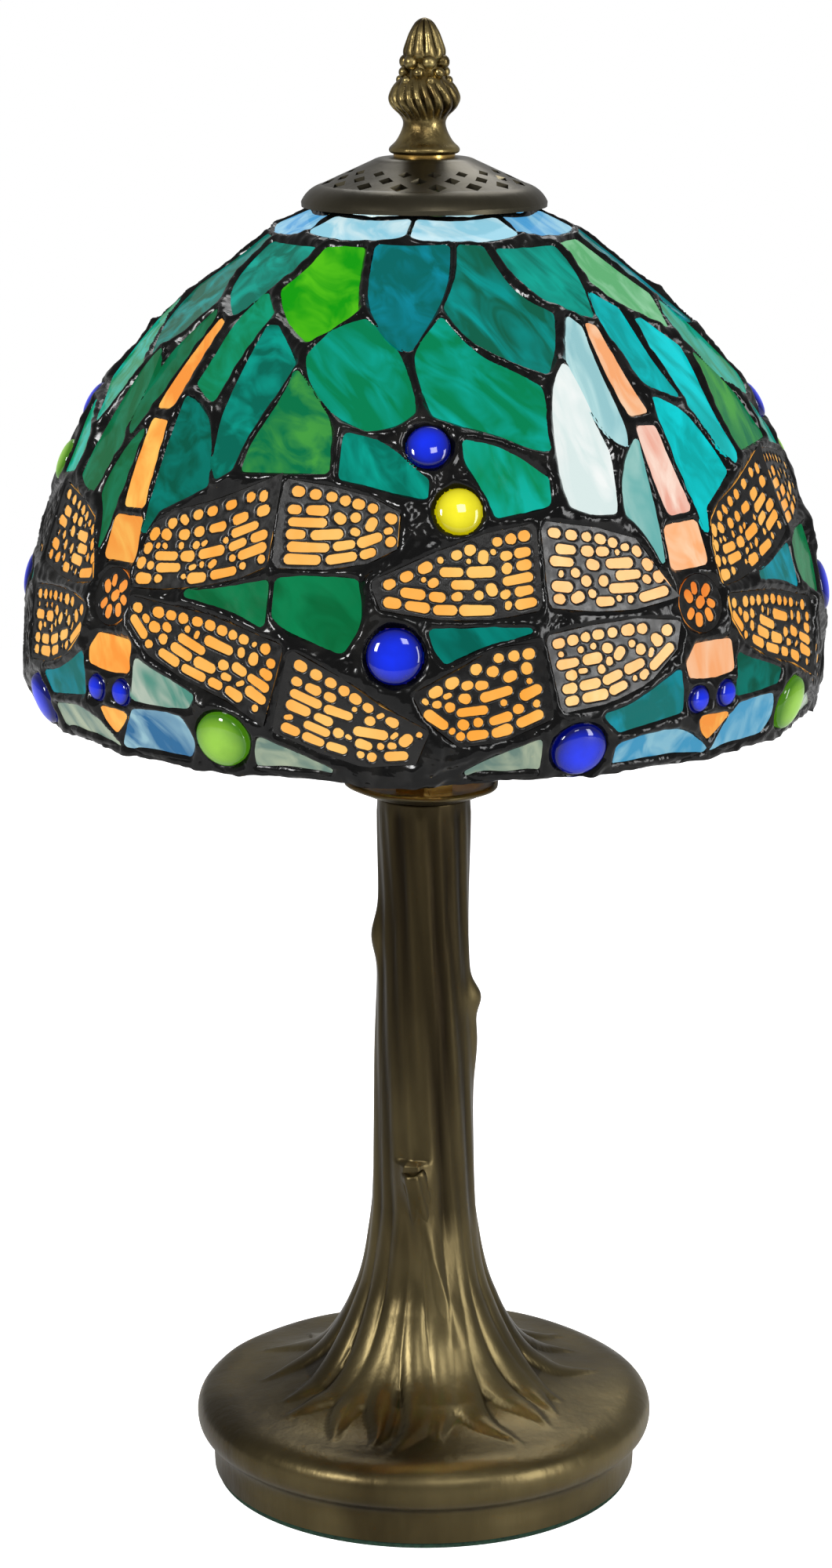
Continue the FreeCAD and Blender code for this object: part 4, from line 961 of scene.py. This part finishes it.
def solder_metal():
    """Black patina over solder: glossy, with worn silvery crowns."""
    shader = Shader("black_solder")
    worn = shader.noise(150.0, 4.0)
    shader.fill(shader.surface, {
        "Base Color": shader.ramp(worn, tones((0.5, (5, 5, 5)), (0.78, (30, 29, 27)))),
        "Roughness": shader.ramp(shader.noise(120.0, 2.0), [(0.3, 0.1), (0.75, 0.24)]),
        "Metallic": 0.15, "Specular IOR Level": 0.3})
    shader.bump(shader.noise(170.0, 1.5, Distortion=1.2), 0.45, 0.0012)
    return shader.material


def opal_glass(name, glow, streak=(150.0, 150.0, 46.0), rough=0.12, body=0.1):
    """Opalescent sheet glass whose light from behind is painted in as emission, a painted glow standing in
    for the bulb shining through: two colours from the mesh in wavy streaks.
    """
    shader = Shader(name)
    deep = shader.add("ShaderNodeAttribute", attribute_name="deep").outputs["Color"]
    pale = shader.add("ShaderNodeAttribute", attribute_name="pale").outputs["Color"]
    shift = shader.add("ShaderNodeAttribute", attribute_name="shift").outputs["Vector"]
    at = shader.add("ShaderNodeVectorMath", {0: shader.place(), 1: shift}, operation="ADD").outputs["Vector"]
    turned = shader.add("ShaderNodeVectorRotate", {"Vector": at, "Rotation": shift},
                        rotation_type="EULER_XYZ").outputs["Vector"]
    long = shader.add("ShaderNodeMapping", {"Vector": turned, "Scale": streak}).outputs["Vector"]
    streaks = shader.noise(1.0, 3.0, long, Distortion=0.9)
    cloud = shader.noise(55.0, 2.0, at)
    mixed = shader.mix(shader.ramp(streaks, [(0.4, 0.0), (0.64, 1.0)]), deep, pale)
    colour = shader.mix(shader.ramp(cloud, [(0.35, 0.0), (0.75, 0.55)]), mixed, deep)
    # Base colour dimmed and the colour sent to emission: painted backlight, the glass glowing as if the bulb
    # shone through it.
    dim = shader.mix(body, (0, 0, 0, 1), colour)
    shader.fill(shader.surface, {
        "Base Color": dim, "Roughness": rough, "Emission Color": colour, "Emission Strength": glow,
        "Specular IOR Level": 0.12})
    shader.bump(shader.noise(110.0, 2.0, at), 0.25, 0.0009)
    return shader.material


def amber_glass(name, deep, pale, glow):
    shader = Shader(name)
    colour = shader.ramp(shader.noise(60.0, 3.0), tones((0.35, deep), (0.68, pale)))
    # The colour goes to emission: painted backlight, the amber glass glowing as if the bulb shone through
    # it.
    shader.fill(shader.surface, {
        "Base Color": shader.mix(0.1, (0, 0, 0, 1), colour), "Roughness": 0.2, "Emission Color": colour,
        "Emission Strength": glow, "Specular IOR Level": 0.3})
    shader.bump(shader.noise(140.0, 2.0), 0.2, 0.0008)
    return shader.material


def jewel_glass(name, deep, bright, glow):
    """A clear domed jewel with painted light: painted shade at the edge of the dome, a painted glow in its
    depth, and emission for the bulb's light through it.
    """
    shader = Shader(name)
    painted_glow_height = shader.add("ShaderNodeAttribute", attribute_name="painted_glow_height").outputs["Fac"]
    cloud = shader.noise(160.0, 3.0)
    colour = shader.ramp(painted_glow_height, tones((0.35, deep), (0.98, bright)))
    colour = shader.mix(shader.ramp(cloud, [(0.4, 0.0), (0.8, 0.35)]), colour, (*linear(deep), 1))
    shader.fill(shader.surface, {
        "Base Color": shader.mix(0.12, (0, 0, 0, 1), colour), "Roughness": 0.06, "Emission Color": colour,
        "Emission Strength": glow})
    shader.bump(cloud, 0.1, 0.0005)
    return shader.material


def clear_glass(name, tint):
    shader = Shader(name)
    shader.fill(shader.surface, {
        "Base Color": shader.ramp(shader.noise(40.0), [(0.2, tint), (0.8, (1.0, 1.0, 1.0))]),
        "Roughness": 0.03, "Transmission Weight": 1.0, "IOR": 1.45})
    return shader.material


def glowing(name, colour, strength):
    shader = Shader(name)
    stops = [(0.3, colour), (0.8, (1.0, 0.9, 0.7))]
    shader.fill(shader.surface, {
        "Base Color": (*colour, 1),
        "Emission Color": shader.ramp(shader.noise(90.0), stops),
        "Emission Strength": strength})
    return shader.material


# ------------------------------------------------------------------ building the shade
def plain(panels):
    return [softened(panel[0]) for panel in panels]


def own_colour(panels):
    """The colours of a piece: its last pair in odd quarters, its first in even ones. A piece with one
    pair has it in both."""
    return lambda i, k: panels[i][-1] if k % 2 else panels[i][1]


def build_shade():
    solder = solder_metal()
    outside = make_object("solder_network", *joined([solder_sheet(1, 240, 230)]))
    finish_piece(outside, solder, "shade", "solder", "solder_matrix")
    inside = make_object("solder_inside", *joined([solder_sheet(-1, 120, 120)]))
    # Bare solder inside, in a light warm copper: partly its own colour without the black patina, partly
    # painted light standing in for the bulb lighting the inside.
    bare_lit_solder = metal("bare_solder_with_painted_glow", (84, 64, 46), (128, 96, 64), (0.4, 0.55), 0.5, 90.0, 0.2)
    finish_piece(inside, bare_lit_solder, "shade", "solder")
    finish_piece(make_object("rim_solder", *joined([rim_bead()])), solder, "shade", "solder", "rim_wire")

    opal = opal_glass("opal_glass", 0.92)
    groups = [("top_band_panes", TOP_BAND, "glass_top_band", "glass_pale_blue"),
              ("upper_leaf_panes", UPPER_LEAVES, "glass_upper_leaves", "glass_teal"),
              ("lime_leaf_panes", LIME_LEAVES, "glass_lime_leaves", "glass_lime"),
              ("middle_leaf_panes", MIDDLE_LEAVES, "glass_middle_leaves", "glass_teal_green"),
              ("lower_leaf_panes", LOWER_LEAVES, "glass_lower_leaves", "glass_teal"),
              ("flank_panes", FLANK_PANELS, "glass_flank_panels", "glass_pale_grey"),
              ("wing_gap_panes", WING_GAPS, "glass_wing_gaps", "glass_deep_green"),
              ("skirt_teal_panes", SKIRT_TEAL, "glass_skirt_teal", "glass_teal"),
              ("skirt_blue_panes", SKIRT_BLUE, "glass_skirt_blue", "glass_streaky_blue")]
    for seed, (name, panels, node, slot) in enumerate(groups):
        obj = glass_group(name, plain(panels), own_colour(panels), seed=seed + 11)
        finish_piece(obj, opal, "shade", slot, node)

    body_glass = opal_glass("body_glass", 0.92)
    for name, panels, node in (("tail_panes", TAIL, "dragonfly_tail_glass"),
                               ("shoulder_panes", SHOULDER, "dragonfly_shoulder_glass"),
                               ("nose_panes", NOSE, "dragonfly_nose_glass")):
        obj = glass_group(name, plain(panels), own_colour(panels), seed=41)
        finish_piece(obj, body_glass, "shade", "glass_peach", node)

    amber = amber_glass("amber_glass", *AMBER, 0.9)
    black = metal("filigree_black", (6, 5, 5), (16, 15, 13), (0.22, 0.4), 0.2, 200.0, 0.1)
    for name, wings in (("upper", UPPER_WINGS), ("lower", LOWER_WINGS)):
        outlines = [softened(wing_outline(wing)) for wing in wings]
        obj = glass_group(f"{name}_wing_panes", outlines, lambda i, k: AMBER, seed=51)
        finish_piece(obj, amber, "shade", "glass_amber", f"wing_glass_{name}")
        plates = [wing_plate(wing, 60 + i) for i, wing in enumerate(wings)]
        if name == "upper":
            plates.append(thorax_plate())
        obj = make_object(f"{name}_wing_filigree", *joined(turned_parts(plates)))
        finish_piece(obj, black, "shade", "filigree", f"wing_filigree_{name}")
    obj = glass_group("thorax_panes", [circle(*THORAX_CENTRE, THORAX_R)], lambda i, k: ORANGE, seed=71)
    thorax_amber = amber_glass("thorax_amber", (226, 110, 30), (252, 164, 70), 0.95)
    finish_piece(obj, thorax_amber, "shade", "glass_amber", "dragonfly_thorax_glass")

    cobalt = jewel_glass("cobalt_jewel", (0, 6, 90), (0, 44, 240), 0.9)
    green = jewel_glass("lime_jewel_glass", (66, 122, 14), (146, 202, 58), 0.9)
    yellow = jewel_glass("yellow_jewel_glass", (180, 170, 0), (250, 240, 40), 0.95)
    every = range(PERIODS)
    for name, places, periods, glass, slot, node in (
            ("cobalt_jewels", COBALT, every, cobalt, "glass_cobalt", "cabochons_cobalt"),
            ("eye_jewels", EYES, every, cobalt, "glass_cobalt", "dragonfly_eyes"),
            ("lime_jewels", LIME_JEWEL, every, green, "glass_green_jewel", "cabochons_lime"),
            ("yellow_jewels", UPPER_JEWEL, (0, 2), yellow, "glass_yellow_jewel", "cabochons_yellow"),
            ("green_jewels", UPPER_JEWEL, (1, 3), green, "glass_green_jewel", "cabochons_green")):
        finish_piece(jewels(name, places, periods), glass, "shade", slot, node)


def build_metalwork():
    bronze = metal("bronze_casting", (68, 59, 39), (116, 104, 72), (0.3, 0.42), 1.0, 26.0, 0.3, 260.0,
                   (1.0, 1.0, 0.35), (34, 28, 19))
    points, faces, crest = trunk_part()
    branch = branch_part()
    casting = make_object("trunk_and_roots", *joined([(points, faces), branch]))
    set_crest(casting, np.concatenate([crest, np.full(len(branch[0]), 0.8)]))
    finish_piece(casting, bronze, "lamp_base", "antique_bronze_casting", "tree_trunk_base")
    collar = make_object("wavy_collar", *joined([collar_part()]))
    set_crest(collar, np.full(len(collar.data.vertices), 0.6))
    finish_piece(collar, bronze, "lamp_base", "antique_bronze_casting", "collar_dish")
    brass = metal("antiqued_brass", (60, 50, 28), (158, 138, 84), (0.22, 0.4), 1.0, 110.0, 0.25, 500.0)
    relief_brass = metal("relief_brass", (84, 70, 42), (166, 148, 98), (0.26, 0.42), 1.0, 160.0, 0.3, 600.0,
                         hollows=(24, 19, 12))
    parts, crest = finial_parts()
    finial = make_object("finial_casting", *joined(parts))
    set_crest(finial, crest)
    finish_piece(finial, relief_brass, "finial", "antique_brass", "finial")
    return brass


def dress_frame(brass):
    """Materials for the CAD pieces that stay."""
    steel = metal("zinc_steel", (140, 142, 145), (190, 191, 192), (0.28, 0.42))
    bright = metal("bright_brass", (176, 138, 70), (216, 180, 104), (0.2, 0.34))
    cap = metal("dark_bronze_cap", (60, 56, 45), (98, 92, 76), (0.26, 0.38), 1.0, 30.0, 0.12, 300.0,
                (1.0, 1.0, 0.3))
    black = plastic("bakelite", (14, 13, 13), (26, 25, 25), 0.35)
    rubber = plastic("black_rubber", (16, 16, 16), (30, 30, 30), 0.7)
    porcelain = plastic("porcelain", (214, 210, 200), (236, 233, 226), 0.25)
    felt = plastic("green_felt", (14, 40, 28), (34, 66, 48), 0.95, 900.0)
    nickel = metal("nickel", (150, 148, 142), (200, 198, 192), (0.2, 0.34))
    lamp_glass = clear_glass("lamp_glass", (0.96, 0.94, 0.9))
    filament = glowing("filament", (1.0, 0.62, 0.25), 18.0)
    wanted = {
        steel: ["bottom_plate", "base_weight", "bottom_washer", "bottom_lock_nut", "threaded_tube",
                "socket_lock_nut", "finial_insert"],
        bright: ["collar_nut", "harp_stud", "seat_washer", "finial_washer", "socket_thread_shell",
                 "socket_contact", "socket_terminal_screws"],
        brass: ["harp_saddle", "harp_ferrules", "harp_wire", "harp_hub"],
        cap: ["vented_cap"], black: ["socket_cap", "socket_case", "bulb_insulator"],
        rubber: ["cord_grommet"], porcelain: ["socket_core"], felt: ["felt_pad"],
        nickel: ["bulb_screw_cap", "bulb_tip"], lamp_glass: ["bulb_globe", "bulb_stem"],
        filament: ["bulb_filaments"]}
    for material, names in wanted.items():
        for name in names:
            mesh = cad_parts[name].data
            mesh.materials.clear()
            mesh.materials.append(material)


# ------------------------------------------------------------------ studio
def area_light(name, place, target, size, power, colour=(1, 1, 1)):
    data = bpy.data.lights.new(name, "AREA")
    data.energy = power
    data.color = colour
    data.shape = "RECTANGLE"
    data.size, data.size_y = size
    lamp = bpy.data.objects.new(name, data)
    lamp.location = place
    way = np.array(target) - np.array(place)
    flat = math.hypot(way[0], way[1])
    lamp.rotation_euler = (math.atan2(flat, -way[2]), 0, math.atan2(way[1], way[0]) - math.pi / 2)
    bpy.context.scene.collection.objects.link(lamp)


def studio():
    bpy.ops.mesh.primitive_circle_add(vertices=96, radius=1.1, fill_type="NGON", location=(0, 0, 0))
    floor = bpy.context.object
    floor.name = "floor"
    shader = Shader("pale_floor")
    shader.fill(shader.surface, {
        "Base Color": shader.ramp(shader.noise(4.0), [(0.3, (0.86, 0.86, 0.86)), (0.7, (0.88, 0.88, 0.88))]),
        "Roughness": 0.6, "Emission Color": (1, 1, 1, 1),
        "Emission Strength": shader.add("ShaderNodeLightPath").outputs["Is Camera Ray"]})
    floor.data.materials.append(shader.material)
    world = bpy.data.worlds.new("studio")
    world.use_nodes = True
    tree = world.node_tree
    backdrop, room = tree.nodes["Background"], tree.nodes.new("ShaderNodeBackground")
    backdrop.inputs["Color"].default_value = (1, 1, 1, 1)
    room.inputs["Color"].default_value = (1, 1, 1, 1)
    room.inputs["Strength"].default_value = ROOM_LIGHT
    seen, choice = tree.nodes.new("ShaderNodeLightPath"), tree.nodes.new("ShaderNodeMixShader")
    tree.links.new(seen.outputs["Is Camera Ray"], choice.inputs[0])
    tree.links.new(room.outputs[0], choice.inputs[1])
    tree.links.new(backdrop.outputs[0], choice.inputs[2])
    tree.links.new(choice.outputs[0], tree.nodes["World Output"].inputs["Surface"])
    bpy.context.scene.world = world
    middle = (0, 0, 0.2)
    area_light("overhead", (0.1, 0.9, 1.2), middle, (0.7, 0.7), 4)
    area_light("front", (0.35, -1.3, 1.3), (0, 0, 0.05), (0.4, 0.4), 6)
    area_light("key", (-0.9, -0.9, 0.8), middle, (0.22, 0.36), 11)
    area_light("fill", (1.0, -0.7, 0.45), middle, (0.25, 0.8), 7)
    glow = bpy.data.lights.new("bulb_light", "POINT")
    glow.energy = 4.0
    glow.color = (1.0, 0.64, 0.32)
    glow.shadow_soft_size = 0.02
    lamp = bpy.data.objects.new("bulb_light", glow)
    lamp.location = (0, 0, 0.262)
    bpy.context.scene.collection.objects.link(lamp)
    camera = bpy.data.cameras.new("camera")
    camera.lens = CAMERA_LENS
    camera.sensor_width = 36.0
    holder = bpy.data.objects.new("camera", camera)
    holder.location = CAMERA_PLACE
    holder.rotation_euler = (math.pi / 2 - CAMERA_PITCH, 0, 0)
    bpy.context.scene.collection.objects.link(holder)
    bpy.context.scene.camera = holder
    bpy.context.scene.view_settings.view_transform = "Standard"


build_shade()
dress_frame(build_metalwork())
studio()
